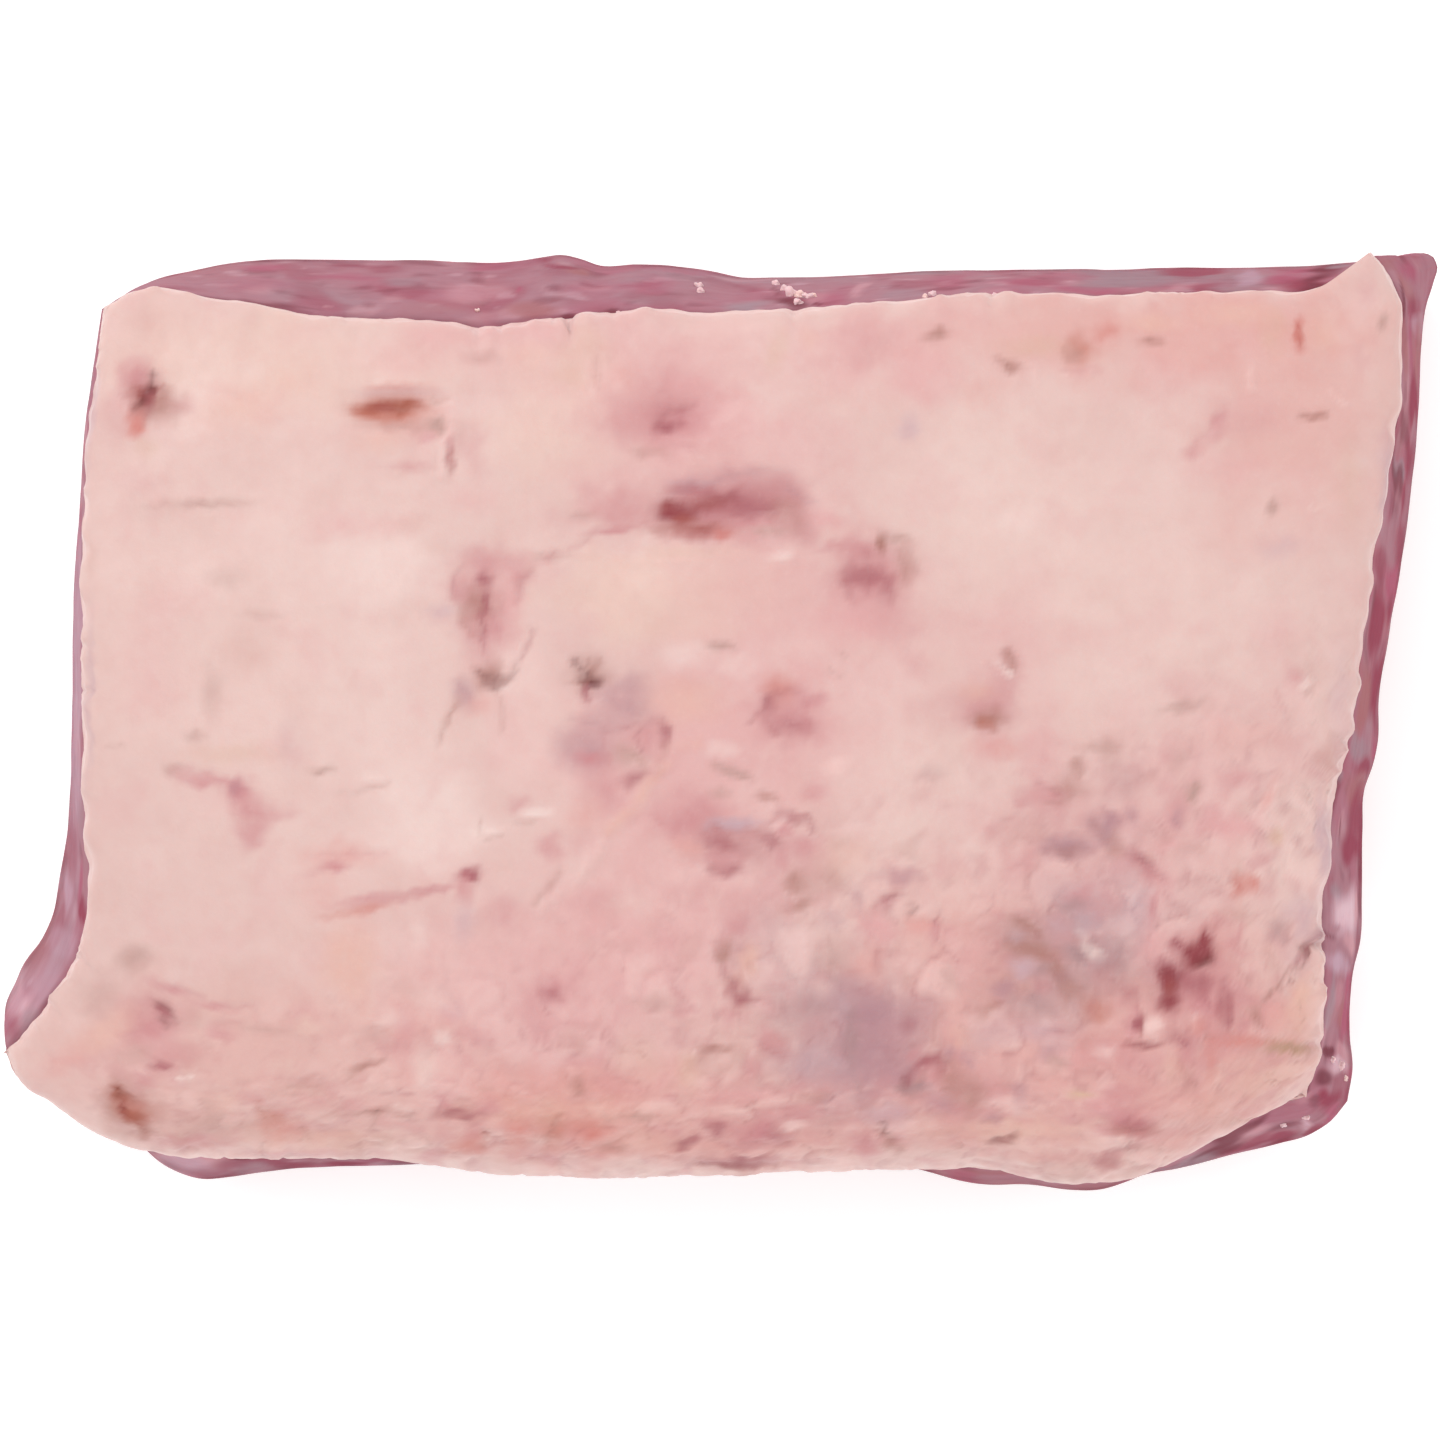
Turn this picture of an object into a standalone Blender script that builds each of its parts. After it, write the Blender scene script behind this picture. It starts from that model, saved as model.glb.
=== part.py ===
"""Beef silverside: a butcher's block of raw lean under its own fat cap.

The block lies on its flat cut face with the fat uppermost. Three sides are knife cuts that lean
out towards the table; the fourth, at the front, is the natural edge, where the fat rolls over.
Metres, +Z up, X along the longest side, the origin in the middle of the underside.
"""
import math

import bmesh
import bpy
import numpy as np
from mathutils import Vector, noise

MM = 0.001

# Driving dimensions, in millimetres.
LENGTH = 240.0
WIDTH = 157.5
HEIGHT = 64.0
GIRTH_HEIGHT = 18.0
FOOT_TUCK = 5.0
FLARE_POWER = 1.4
FAT_THICKNESS = 8.0
LIP_THICKNESS = 4.5
LIP_TAPER = 3.0
FIT_GAP = 0.4
SHOULDER_RADIUS = 17.0
RIM_LEAN = 0.04
CORNER_SHARE = 0.05

# The widest outline of the lean, seen from above: corners, then for each side how far the edge
# stands out from the straight line between its corners, as (distance along, distance out).
GIRTH_CORNERS = {
    "front left": (-119.6, -54.2),
    "back left": (-103.5, 68.7),
    "back right": (119.2, 77.5),
    "front right": (105.0, -63.7),
}
GIRTH_SIDES = {
    "back": ((0, 0), (7, 4.0), (18, 6.6), (50, 6.4), (70, 5.4), (74, 5.8), (77.5, 6.1), (80.5, 5.4),
             (83.5, 4.2), (90, 4.2), (98, 3.4), (103, 2.3), (107, 1.3), (113, 1.0), (137, 1.0), (155, 0.6),
             (189, -0.2), (206, -0.5), (216, 0.2), (220.5, 0.7), (222, 0.6), (223, 0)),
    "right": ((0, 0), (1.2, 0.7), (4, 0.4), (8, -0.4), (11.3, -0.6), (14.6, -0.6), (21.3, -0.2),
              (28, 0.1), (41, 0.2),
              (56, -0.4), (64, -1.0), (75, -1.7), (82, -1.2), (86, -1.6), (90, -2.6), (97, -2.2),
              (109, -1.0), (116, -0.7), (120, -1.2), (131, -0.8), (137, 0.2), (142.6, 0)),
    "front": ((0, 0), (2.1, 3.0), (5.2, 5.5), (10.9, 7.6), (16.7, 9.2), (22.5, 10.9), (28.3, 12.5),
              (34.1, 13.7), (37, 15.0), (39.8, 16.1), (45.7, 16.6), (51.6, 16.1), (63.3, 16.2), (69.2, 14.9),
              (76, 13.6), (110, 15.7), (146, 16.6), (163, 17.9), (180.3, 19.5), (186.2, 20.6), (192, 20.9),
              (198, 18.6), (203, 14.7), (211.2, 10.5), (216, 7.0), (220.8, 3.4), (223.1, 0.9), (224.8, 0)),
    "left": ((0, 0), (3.2, 0.6), (7.4, 0.8), (10.7, -0.3), (14.3, -1.5), (17.9, -3.5), (21.6, -4.8),
             (28.3, -5.4), (41.8, -5.3), (51.8, -4.2), (65.1, -2.7), (85.1, -1.0), (105.2, 0.1),
             (123.95, 0)),
}
# The upper edge of the fat, in the same form.
CAP_CORNERS = {
    "front left": (-117.9, -54.5),
    "back left": (-100.4, 67.2),
    "back right": (105.6, 76.2),
    "front right": (95.4, -61.2),
}
CAP_SIDES = {
    "back": ((0, 0), (4, 2.0), (12, 2.3), (16, 0.9), (23, -0.5), (37, -3.6), (50, -4.6), (57, -5.4),
             (61, -6.2), (66, -6.0), (82, -4.8), (104, -5.7), (127, -5.0), (146, -4.3), (154, -4.9),
             (162.5, -5.5), (170.6, -5.4), (178.7, -5.6), (186.9, -5.7), (195, -5.9), (198.2, -5.2),
             (201.5, -3.2), (203.1, -2.1), (206.2, 0)),
    "right": ((0, 0), (3, 2.8), (6.5, 5.2), (12, 5.9), (18, 6.2), (24, 6.7), (28, 6.5), (33, 5.4),
              (40.5, 5.0), (48.6, 4.0), (56.8, 3.6), (64.9, 3.1), (73, 2.8), (80, 2.3), (85, 1.3), (90, 0.7),
              (99, 0.3), (105.6, -0.2), (112, 0.6), (117, 1.2), (122, 1.7), (129, 1.9), (137.8, 0)),
    "front": ((0, 0), (5, 2.5), (15, 8.5), (28, 14.6), (55, 14.0), (82, 15.4), (108, 17.0), (136, 16.9),
              (150, 15.6), (178, 16.3), (188, 15.9), (195.1, 14.1), (201.1, 10.9), (205.8, 7.9),
              (211.3, 4.1), (213.4, 0)),
    "left": ((0, 0), (5.2, -3.9), (12.3, -8.0), (22.3, -11.4), (37.3, -9.1), (52.3, -7.0), (81.2, -2.8),
             (103.2, -0.7), (122.95, 0)),
}

# Along the front from left to right: how far the fat rolls down, and how far its lip then hangs.
ROLL_DROP = ((0.0, 9.0), (0.12, 13.0), (0.3, 18.0), (0.65, 18.0), (0.85, 13.0), (1.0, 7.0))
LIP_DROP = ((0.0, 3.0), (0.3, 8.0), (0.65, 8.0), (0.85, 4.0), (1.0, 2.0))
LIP_SHARE = 0.04
ROLL_SHARE = 0.16

# Low edges and corners of the crown: (x, y, reach, fall).
CORNER_FALLS = ((-118.0, -56.0, 66.0, 13.0), (102.0, -68.0, 52.0, 6.0))
EDGE_FALL = 4.0
EDGE_REACH = 26.0
CROWN_WAVE = 1.1
CROWN_WAVELENGTH = 46.0

# Hollows (negative) and swellings (positive) of the skin: x, y, half length, half width, turn in
# degrees, height.
SKIN_MARKS = (
    (-93.4, 53.6, 3.4, 2.8, 0, -3.0),
    (-53.6, 50.7, 7.0, 2.4, 0, -2.2),
    (-44.6, 45.5, 5.0, 2.2, 70, 1.6),
    (-7.7, 49.5, 6.0, 4.0, 20, -2.0),
    (0.1, 34.4, 13.0, 4.0, 5, -2.8),
    (-7.7, 20.7, 23.0, 9.0, 0, 2.0),
    (-38.1, 16.2, 6.0, 11.0, 0, -1.6),
    (-21.9, 6.7, 3.0, 3.0, 0, -2.6),
    (10.7, 1.2, 4.0, 4.0, 0, -1.8),
    (-11.3, -2.5, 3.6, 3.2, 0, -1.4),
    (24.5, 24.3, 7.0, 6.0, 0, -1.2),
    (43.2, 0.7, 5.5, 5.0, 0, -1.4),
    (-1.5, -18.0, 12.0, 7.0, 10, -1.3),
    (22.8, -50.5, 14.0, 11.0, 0, -1.6),
    (53.7, -39.1, 10.0, 8.0, 0, -1.6),
    (75.7, -39.9, 7.0, 9.0, 0, -2.4),
    (-96.7, -61.9, 3.0, 3.0, 0, -1.6),
    (3.3, -39.1, 2.6, 7.0, 0, -1.6),
    (36.7, -56.2, 4.0, 4.0, 0, -1.4),
    (-87.7, -48.1, 8.0, 5.0, 0, -1.2),
    (96.0, -46.0, 5.0, 11.0, 0, 2.2),
)
LOBE_SIZE = 9.0
LOBE_HEIGHT = 1.5
SKIN_WAVE = 0.5
SKIN_WAVELENGTH = 12.0
EDGE_CALM = 0.015
# The fat is broken into lobes towards the front right: how far that boundary slants, its start and end.
CRUMBLY_SLANT = 0.35
CRUMBLY_START = 5.0
CRUMBLY_END = 55.0
FURROW_STEEPNESS = 2.0
EDGE_RAGGEDNESS = 0.8
RAG_LENGTH = 6.0
RAG_REACH = 7.0
# The edge is more ragged from the middle of the block to this far in front of it.
RAGGED_FRONT = 40.0
TEAR_SPREAD = 28.0
# Tears of the fat's edge: x, y, half length along the edge, how far the edge is pulled (x, y).
EDGE_TEARS = (
    (95.0, -38.2, 2.2, -4.4, 0.0),
    (-24.6, 68.6, 1.8, 0.0, -1.6),
    (96.0, -12.0, 2.0, -1.5, 0.0),
    (47.0, 70.6, 2.6, 0.0, 0.7),
)

# Lean: fibre bundles run along each cut side as long low ridges.
FIBRE_LENGTH = 34.0
FIBRE_PITCH = 6.5
FIBRE_HEIGHT = 0.9
OUTWARD = {"front": (0, -1), "back": (0, 1), "left": (-1, 0), "right": (1, 0)}
SLUMP_LENGTH = 38.0
SLUMP_HEIGHT = 0.7
# Shares of the wall's height that stay calm under the fat and above the table.
CALM_UNDER_FAT = 0.12
CALM_AT_FOOT = 0.3

# The middle of the finished block in the outlines' own measure, which becomes the origin.
MIDDLE = (-0.1, 0.11)

# Starting points of the noise fields, and how far apart they lie.
SEEDS = {"crown": 1, "lobes": 2, "skin": 3, "rag across": 5, "rag deep": 6, "fibres": 8, "slump": 9}
WAVE_STEP = (17.3, 5.9, 11.1)
LOBE_STEP = (13.7, 3.1, 7.7)

# How finely each piece is cut before it is thinned out again where it is smooth.
BLOCK_SIZE = 2.0
SAME_LEVEL = 1e-6
CUTS_ACROSS = 127
CUTS_DEEP = 83
FAT_RIM_CUTS = 3
LEAN_WALL_CUTS = 17
CONTACT_STEP = 4
FAT_TRIANGLES = 5600
LEAN_TRIANGLES = 4800
THINNING_FOCUS = 1000.0

# Linear red, green and blue, and roughness.
FAT_SURFACE = ((0.82, 0.60, 0.55), 0.45)
LEAN_SURFACE = ((0.43, 0.19, 0.23), 0.4)


def through_stations(stations, along):
    """A smooth curve through (along, out) stations: cubic pieces with the slopes of their neighbours."""
    at = np.array([s[0] for s in stations], dtype=float)
    out = np.array([s[1] for s in stations], dtype=float)
    slope = np.gradient(out, at)
    i = np.clip(np.searchsorted(at, along, side="right") - 1, 0, len(at) - 2)
    step = at[i + 1] - at[i]
    f = (along - at[i]) / step
    rise = out[i + 1] - out[i]
    return (out[i] + f * f * (3 - 2 * f) * rise
            + f * (1 - f) ** 2 * step * slope[i] - f * f * (1 - f) * step * slope[i + 1])


def side_points(start, end, stations, share):
    """Points at the given shares of the way along a side, moved out by its stations."""
    start = np.array(start)
    way = np.array(end) - start
    length = math.hypot(*way)
    outward = np.array((-way[1], way[0])) / length
    scale = stations[-1][0] / length
    out = through_stations(stations, share * length * scale)
    return start + share[:, None] * way + out[:, None] * outward


def outline(corners, sides):
    """The four sides as functions of a share: front and back run left to right, the others to the back."""
    left, back = corners["front left"], corners["back left"]
    far, near = corners["back right"], corners["front right"]
    return {
        "front": lambda share: side_points(near, left, sides["front"], 1.0 - share),
        "back": lambda share: side_points(back, far, sides["back"], share),
        "left": lambda share: side_points(left, back, sides["left"], share),
        "right": lambda share: side_points(far, near, sides["right"], 1.0 - share),
    }


def patch(edges, u, v):
    """A plan position between four edge curves: the two pairs blended, less their corners (Coons)."""
    zero, one = np.zeros(1), np.ones(1)
    front_left, front_right = edges["front"](zero)[0], edges["front"](one)[0]
    back_left, back_right = edges["back"](zero)[0], edges["back"](one)[0]
    uu, vv = u[:, None], v[:, None]
    across = (1 - uu) * edges["left"](v) + uu * edges["right"](v)
    deep = (1 - vv) * edges["front"](u) + vv * edges["back"](u)
    flat = ((1 - uu) * (1 - vv) * front_left + uu * (1 - vv) * front_right
            + (1 - uu) * vv * back_left + uu * vv * back_right)
    return across + deep - flat


def waves(points, length, seed):
    """Smooth noise at the given points, its features about one length apart, with a named seed."""
    shift = Vector(WAVE_STEP) * SEEDS[seed]
    return np.array([noise.noise(Vector(p) / length + shift) for p in points])


def cells(points, length, seed):
    """Rounded lobes about one length wide: 1 at a lobe's middle, 0 in the furrow beside it."""
    shift = Vector(LOBE_STEP) * SEEDS[seed]
    found = [noise.voronoi(Vector(p) / length + shift)[0] for p in points]
    return np.clip(np.array([d[1] - d[0] for d in found]) * FURROW_STEEPNESS, 0, 1)


def fade(value, low, high):
    """0 below low, 1 above high, with a soft step between."""
    f = np.clip((value - low) / (high - low), 0, 1)
    return f * f * (3 - 2 * f)


def crown_height(plan, u, v):
    """Height of the fat's skin before it rolls over the front."""
    height = np.full(len(plan), HEIGHT)
    depth = WIDTH * (1 - v)
    from_side = LENGTH * np.minimum(u, 1 - u)
    for distance in (depth, from_side):
        height -= EDGE_FALL * np.clip(1 - distance / EDGE_REACH, 0, 1) ** 2
    for x, y, reach, fall in CORNER_FALLS:
        near = 1 - np.hypot(plan[:, 0] - x, plan[:, 1] - y) / reach
        height -= fall * fade(near, 0, 1)
    flat = np.column_stack((plan, np.zeros(len(plan))))
    return height + CROWN_WAVE * waves(flat, CROWN_WAVELENGTH, "crown")


def roll(u, v):
    """How a point at (u, v) sits on the front roll: plan share, turn of the skin, lip share."""
    lip = 1 - np.clip(v / LIP_SHARE, 0, 1)
    turn = 0.5 * math.pi * (1 - np.clip((v - LIP_SHARE) / ROLL_SHARE, 0, 1))
    reach = SHOULDER_RADIUS / WIDTH
    rest = np.clip((v - LIP_SHARE - ROLL_SHARE) / (1 - LIP_SHARE - ROLL_SHARE), 0, 1)
    plan_share = np.where(turn > 0, reach * (1 - np.sin(turn)), reach + rest * (1 - reach))
    return plan_share, turn, lip


def along_front(table, u):
    """A value given along the front edge, read at u."""
    return np.interp(u, [t[0] for t in table], [t[1] for t in table])


def front_drop(u, turn, lip):
    """How far the roll and the lip bring the skin down."""
    return along_front(ROLL_DROP, u) * (1 - np.cos(turn)) + along_front(LIP_DROP, u) * lip


def drawn_in(plan, tuck):
    """Plan positions drawn towards the middle, by the tuck where the block is widest."""
    return plan * (1 - np.atleast_1d(tuck)[:, None] / np.array((0.5 * LENGTH, 0.5 * WIDTH)))


def rim_outline(cap, girth):
    """Where the fat's underside ends: on the leaning walls, and inside the roll along the front."""
    def leaning(side):
        return lambda share: (1 - RIM_LEAN) * cap[side](share) + RIM_LEAN * girth[side](share)

    def tucked(share):
        inner = cap["front"](share) + np.array((0.0, LIP_THICKNESS))
        corner_share = np.minimum(share, 1 - share)
        blend = fade(corner_share, 0, CORNER_SHARE)[:, None]
        ends = (1 - RIM_LEAN) * cap["front"](share) + RIM_LEAN * girth["front"](share)
        return blend * inner + (1 - blend) * ends

    return {"front": tucked, "back": leaning("back"), "left": leaning("left"), "right": leaning("right")}


def skin_relief(plan, u, v):
    """Hollows, swellings and lobes of the fat's skin, as a height above its smooth form."""
    relief = np.zeros(len(plan))
    for x, y, half_length, half_width, turn, height in SKIN_MARKS:
        c, s = math.cos(math.radians(turn)), math.sin(math.radians(turn))
        dx, dy = plan[:, 0] - x, plan[:, 1] - y
        along, across = c * dx + s * dy, c * dy - s * dx
        relief += height * np.exp(-(along / half_length) ** 2 - (across / half_width) ** 2)
    flat = np.column_stack((plan, np.zeros(len(plan))))
    crumbly = fade(plan[:, 0] * CRUMBLY_SLANT - plan[:, 1], CRUMBLY_START, CRUMBLY_END)
    relief += LOBE_HEIGHT * crumbly * (cells(flat, LOBE_SIZE, "lobes") - 0.5)
    relief += SKIN_WAVE * waves(flat, SKIN_WAVELENGTH, "skin")
    return relief * fade(np.minimum(u, 1 - u), 0, EDGE_CALM) * fade(1 - v, 0, EDGE_CALM)


def rag(plan, u, v):
    """The torn edge of the fat: small steps in and out along the cut sides, and the larger tears."""
    flat = np.column_stack((plan, np.zeros(len(plan))))
    at_edge = 1 - fade(np.minimum(np.minimum(u, 1 - u) * LENGTH, (1 - v) * WIDTH), 0, RAG_REACH)
    reach = EDGE_RAGGEDNESS * at_edge * (1 + fade(-plan[:, 1], 0, RAGGED_FRONT))
    steps = (waves(flat, RAG_LENGTH, "rag across"), waves(flat, RAG_LENGTH, "rag deep"))
    shift = np.column_stack(steps) * reach[:, None]
    for x, y, half_length, pull_x, pull_y in EDGE_TEARS:
        off = plan[:, 1] - y if pull_x else plan[:, 0] - x
        near = np.hypot(plan[:, 0] - x, plan[:, 1] - y) < TEAR_SPREAD
        pull = np.exp(-(off / half_length) ** 2) * at_edge * near
        shift += pull[:, None] * np.array((pull_x, pull_y))
    return shift


def fat_skin(cap, u, v):
    """The outer face of the fat."""
    plan_share, turn, lip = roll(u, v)
    plan = patch(cap, u, plan_share)
    height = crown_height(plan, u, v) - front_drop(u, turn, lip)
    relief = skin_relief(plan, u, v)
    edge = rag(plan, u, v)
    points = np.column_stack((plan + edge, height))
    points[:, 1] += LIP_TAPER * lip ** 2 - relief * np.sin(turn)
    points[:, 2] += relief * np.cos(turn)
    return points


def contact(rim, u, v, lift):
    """The face where the fat meets the lean, moved out along its own direction by lift."""
    plan_share, turn, lip = roll(u, v)
    plan = patch(rim, u, plan_share)
    height = crown_height(plan, u, v) - FAT_THICKNESS * np.cos(turn) - front_drop(u, turn, lip)
    points = np.column_stack((plan, height))
    points[:, 1] -= lift * np.sin(turn)
    points[:, 2] += lift * np.cos(turn)
    return points


def lean_wall(girth, top, side, share, drop):
    """A point on a cut side: drop 0 is the rim under the fat, 1 is the table."""
    widest = girth[side](share)
    height = top[:, 2] * (1 - drop)
    above = np.clip((height - GIRTH_HEIGHT) / np.maximum(top[:, 2] - GIRTH_HEIGHT, 1), 0, 1) ** FLARE_POWER
    below = np.clip((GIRTH_HEIGHT - height) / GIRTH_HEIGHT, 0, 1)
    tuck = FOOT_TUCK * (1 - np.sqrt(1 - below ** 2))
    plan = above[:, None] * top[:, :2] + (1 - above[:, None]) * widest
    points = np.column_stack((drawn_in(plan, tuck), height))
    fibres = points * np.array((1 / FIBRE_LENGTH, 1 / FIBRE_LENGTH, 1 / FIBRE_PITCH))
    slump = points / SLUMP_LENGTH
    relief = FIBRE_HEIGHT * waves(fibres, 1.0, "fibres") + SLUMP_HEIGHT * waves(slump, 1.0, "slump")
    relief *= fade(drop, 0, CALM_UNDER_FAT) * fade(1 - drop, 0, CALM_AT_FOOT)
    points[:, :2] += relief[:, None] * np.array(OUTWARD[side])
    return points


def gridded_block(high_cuts):
    """A cube about the origin whose faces are cut into a grid."""
    bm = bmesh.new()
    bmesh.ops.create_cube(bm, size=BLOCK_SIZE)
    for axis, cuts in enumerate((CUTS_ACROSS, CUTS_DEEP, high_cuts)):
        edges = [e for e in bm.edges if abs(e.verts[0].co[axis] - e.verts[1].co[axis]) > 0.5 * BLOCK_SIZE]
        bmesh.ops.subdivide_edges(bm, edges=edges, cuts=cuts, use_grid_fill=True)
    return bm


def grid_line(vert, axis, cuts):
    """The number of the grid line that a vertex lies on."""
    return round((vert.co[axis] / BLOCK_SIZE + 0.5) * (cuts + 1))


def thin_face(bm, level):
    """Keeps one grid line in every few on the face at the given level (1 the top, -1 the bottom)."""
    def spare(edge):
        if any(abs(v.co.z - 0.5 * level * BLOCK_SIZE) > SAME_LEVEL for v in edge.verts):
            return False
        for axis, cuts in ((0, CUTS_ACROSS), (1, CUTS_DEEP)):
            first, second = (grid_line(v, axis, cuts) for v in edge.verts)
            if first == second and first % CONTACT_STEP and 0 < first < cuts + 1:
                return True
        return False

    edges = [e for e in bm.edges if spare(e)]
    bmesh.ops.dissolve_edges(bm, edges=edges, use_verts=True, use_face_split=False)


def finish(bm, name, points, free, triangles, material, collection):
    """Moves the grid to its real form and thins out the smooth parts of its free faces."""
    count = 0
    for vert, point in zip(bm.verts, points - np.array((*MIDDLE, 0.0))):
        vert.co = Vector(point) * MM
    for face in bm.faces:
        count += len(face.verts) - 2
        face.smooth = True
    mesh = bpy.data.meshes.new(name)
    bm.to_mesh(mesh)
    bm.free()
    piece = bpy.data.objects.new(name, mesh)
    collection.objects.link(piece)
    mesh.materials.append(material)
    group = piece.vertex_groups.new(name="free faces")
    group.add([int(i) for i in np.flatnonzero(free)], 1.0, "REPLACE")
    thin = piece.modifiers.new("thin out", "DECIMATE")
    thin.decimate_type = "COLLAPSE"
    thin.ratio = triangles / count
    thin.vertex_group = group.name
    thin.vertex_group_factor = THINNING_FOCUS
    thin.use_collapse_triangulate = True
    return piece


def block_coordinates(bm):
    """Each vertex's place in the block: shares across, deep and high, from 0 to 1."""
    bm.verts.ensure_lookup_table()
    return np.array([v.co[:] for v in bm.verts]) / BLOCK_SIZE + 0.5


def fat_cap(cap, rim, material, collection):
    """The layer of fat over the whole top, rolled down over the front."""
    bm = gridded_block(FAT_RIM_CUTS)
    thin_face(bm, -1)
    u, v, w = block_coordinates(bm).T
    skin = fat_skin(cap, u, v)
    under = contact(rim, u, v, FIT_GAP)
    points = under + (skin - under) * w[:, None]
    return finish(bm, "fat_cap", points, w > 0, FAT_TRIANGLES, material, collection)


def lean_muscle(girth, rim, material, collection):
    """The lean under the fat: leaning cut walls, rounded into a flat foot."""
    bm = gridded_block(LEAN_WALL_CUTS)
    thin_face(bm, 1)
    thin_face(bm, -1)
    u, v, w = block_coordinates(bm).T
    top = contact(rim, u, v, 0.0)
    foot_edges = {side: lambda share, side=side: drawn_in(girth[side](share), FOOT_TUCK) for side in girth}
    foot = np.column_stack((patch(foot_edges, u, v), np.zeros(len(u))))
    points = np.where(w[:, None] == 1, top, foot)
    inner = (w > 0) & (w < 1)
    for side, on_side, share in (("front", v == 0, u), ("back", v == 1, u),
                                 ("left", u == 0, v), ("right", u == 1, v)):
        here = on_side & inner
        points[here] = lean_wall(girth, top[here], side, share[here], 1 - w[here])
    return finish(bm, "lean_muscle", points, w < 1, LEAN_TRIANGLES, material, collection)


def meat_material(name, colour, roughness):
    """A plain moist surface."""
    material = bpy.data.materials.new(name)
    material.use_nodes = True
    shader = material.node_tree.nodes["Principled BSDF"]
    shader.inputs["Base Color"].default_value = (*colour, 1.0)
    shader.inputs["Roughness"].default_value = roughness
    shader.inputs["Metallic"].default_value = 0.0
    return material


def main():
    for old in list(bpy.data.objects):
        bpy.data.objects.remove(old)
    collection = bpy.data.collections.new("beef_silverside")
    bpy.context.scene.collection.children.link(collection)
    girth = outline(GIRTH_CORNERS, GIRTH_SIDES)
    cap = outline(CAP_CORNERS, CAP_SIDES)
    rim = rim_outline(cap, girth)
    fat = meat_material("cream fat", *FAT_SURFACE)
    lean = meat_material("raw lean", *LEAN_SURFACE)
    fat_cap(cap, rim, fat, collection)
    lean_muscle(girth, rim, lean, collection)


main()
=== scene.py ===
"""Looks of a butcher's block of raw beef silverside: pink lean under its own cap of cream fat.

The block lies fat side up. Its big forms are the same as the solids': four side curves in plan, a
crowned top, a front edge that rolls over. The fine surfaces here add lobes, furrows, fibres,
vessel ends and stains, with painted highlights and painted shade among the small marks. Millimetres
inside the functions, metres in the meshes.
"""
import itertools
import math

import bpy
import numpy as np
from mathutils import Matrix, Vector


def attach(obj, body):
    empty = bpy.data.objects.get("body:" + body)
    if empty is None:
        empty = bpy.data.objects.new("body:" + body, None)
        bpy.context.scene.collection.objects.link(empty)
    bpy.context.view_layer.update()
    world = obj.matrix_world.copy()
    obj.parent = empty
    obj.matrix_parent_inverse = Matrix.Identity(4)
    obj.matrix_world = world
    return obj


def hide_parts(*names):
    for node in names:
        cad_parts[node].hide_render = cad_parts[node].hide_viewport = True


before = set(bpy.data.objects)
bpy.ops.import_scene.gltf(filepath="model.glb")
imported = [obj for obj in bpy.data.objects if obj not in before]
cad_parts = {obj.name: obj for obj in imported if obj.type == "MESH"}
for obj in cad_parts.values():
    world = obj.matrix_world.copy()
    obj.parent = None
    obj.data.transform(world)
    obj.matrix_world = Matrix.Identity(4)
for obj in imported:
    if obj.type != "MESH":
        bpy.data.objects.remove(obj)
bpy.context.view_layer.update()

MM = 0.001

# ------------------------------ driving sizes, in millimetres
LENGTH = 240.0
WIDTH = 157.5
HEIGHT = 64.0
GIRTH_HEIGHT = 18.0
LIMB_HEIGHT = 20.0
FOOT_TUCK = 5.0
FLARE_POWER = 1.4
FAT_THICKNESS = 8.0
LIP_THICKNESS = 4.5
LIP_TAPER = 3.0
FIT_GAP = 0.4
SHOULDER_RADIUS = 17.0
RIM_LEAN = 0.04
CORNER_SHARE = 0.05
MIDDLE = (-0.1, 0.11)

# The widest outline of the lean from above: corners, then for each side how far the edge stands
# out from the straight line between its corners, as (distance along, distance out).
GIRTH_CORNERS = {
    "front left": (-119.6, -54.2),
    "back left": (-103.5, 68.7),
    "back right": (119.2, 77.5),
    "front right": (105.0, -63.7),
}
GIRTH_SIDES = {
    "back": ((0, 0), (7, 4.0), (18, 6.6), (50, 6.4), (70, 5.4), (74, 5.8), (77.5, 6.1), (80.5, 5.4),
             (83.5, 4.2), (90, 4.2), (98, 3.4), (103, 2.3), (107, 1.3), (113, 1.0), (137, 1.0), (155, 0.6),
             (189, -0.2), (206, -0.5), (216, 0.2), (220.5, 0.7), (222, 0.6), (223, 0)),
    "right": ((0, 0), (1.2, 0.7), (4, 0.4), (8, -0.4), (11.3, -0.6), (14.6, -0.6), (21.3, -0.2),
              (28, 0.1), (41, 0.2),
              (56, -0.4), (64, -1.0), (75, -1.7), (82, -1.2), (86, -1.6), (90, -2.6), (97, -2.2),
              (109, -1.0), (116, -0.7), (120, -1.2), (131, -0.8), (137, 0.2), (142.6, 0)),
    "front": ((0, 0), (2.1, 3.0), (5.2, 5.5), (10.9, 7.6), (16.7, 9.2), (22.5, 10.9), (28.3, 12.5),
              (34.1, 13.7), (37, 15.0), (39.8, 16.1), (45.7, 16.6), (51.6, 16.1), (63.3, 16.2), (69.2, 14.9),
              (76, 13.6), (110, 15.7), (146, 16.6), (163, 17.9), (180.3, 19.5), (186.2, 20.6), (192, 20.9),
              (198, 18.6), (203, 14.7), (211.2, 10.5), (216, 7.0), (220.8, 3.4), (223.1, 0.9), (224.8, 0)),
    "left": ((0, 0), (3.2, 0.6), (7.4, 0.8), (10.7, -0.3), (14.3, -1.5), (17.9, -3.5), (21.6, -4.8),
             (28.3, -5.4), (41.8, -5.3), (51.8, -4.2), (65.1, -2.7), (85.1, -1.0), (105.2, 0.1),
             (123.95, 0)),
}
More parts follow.
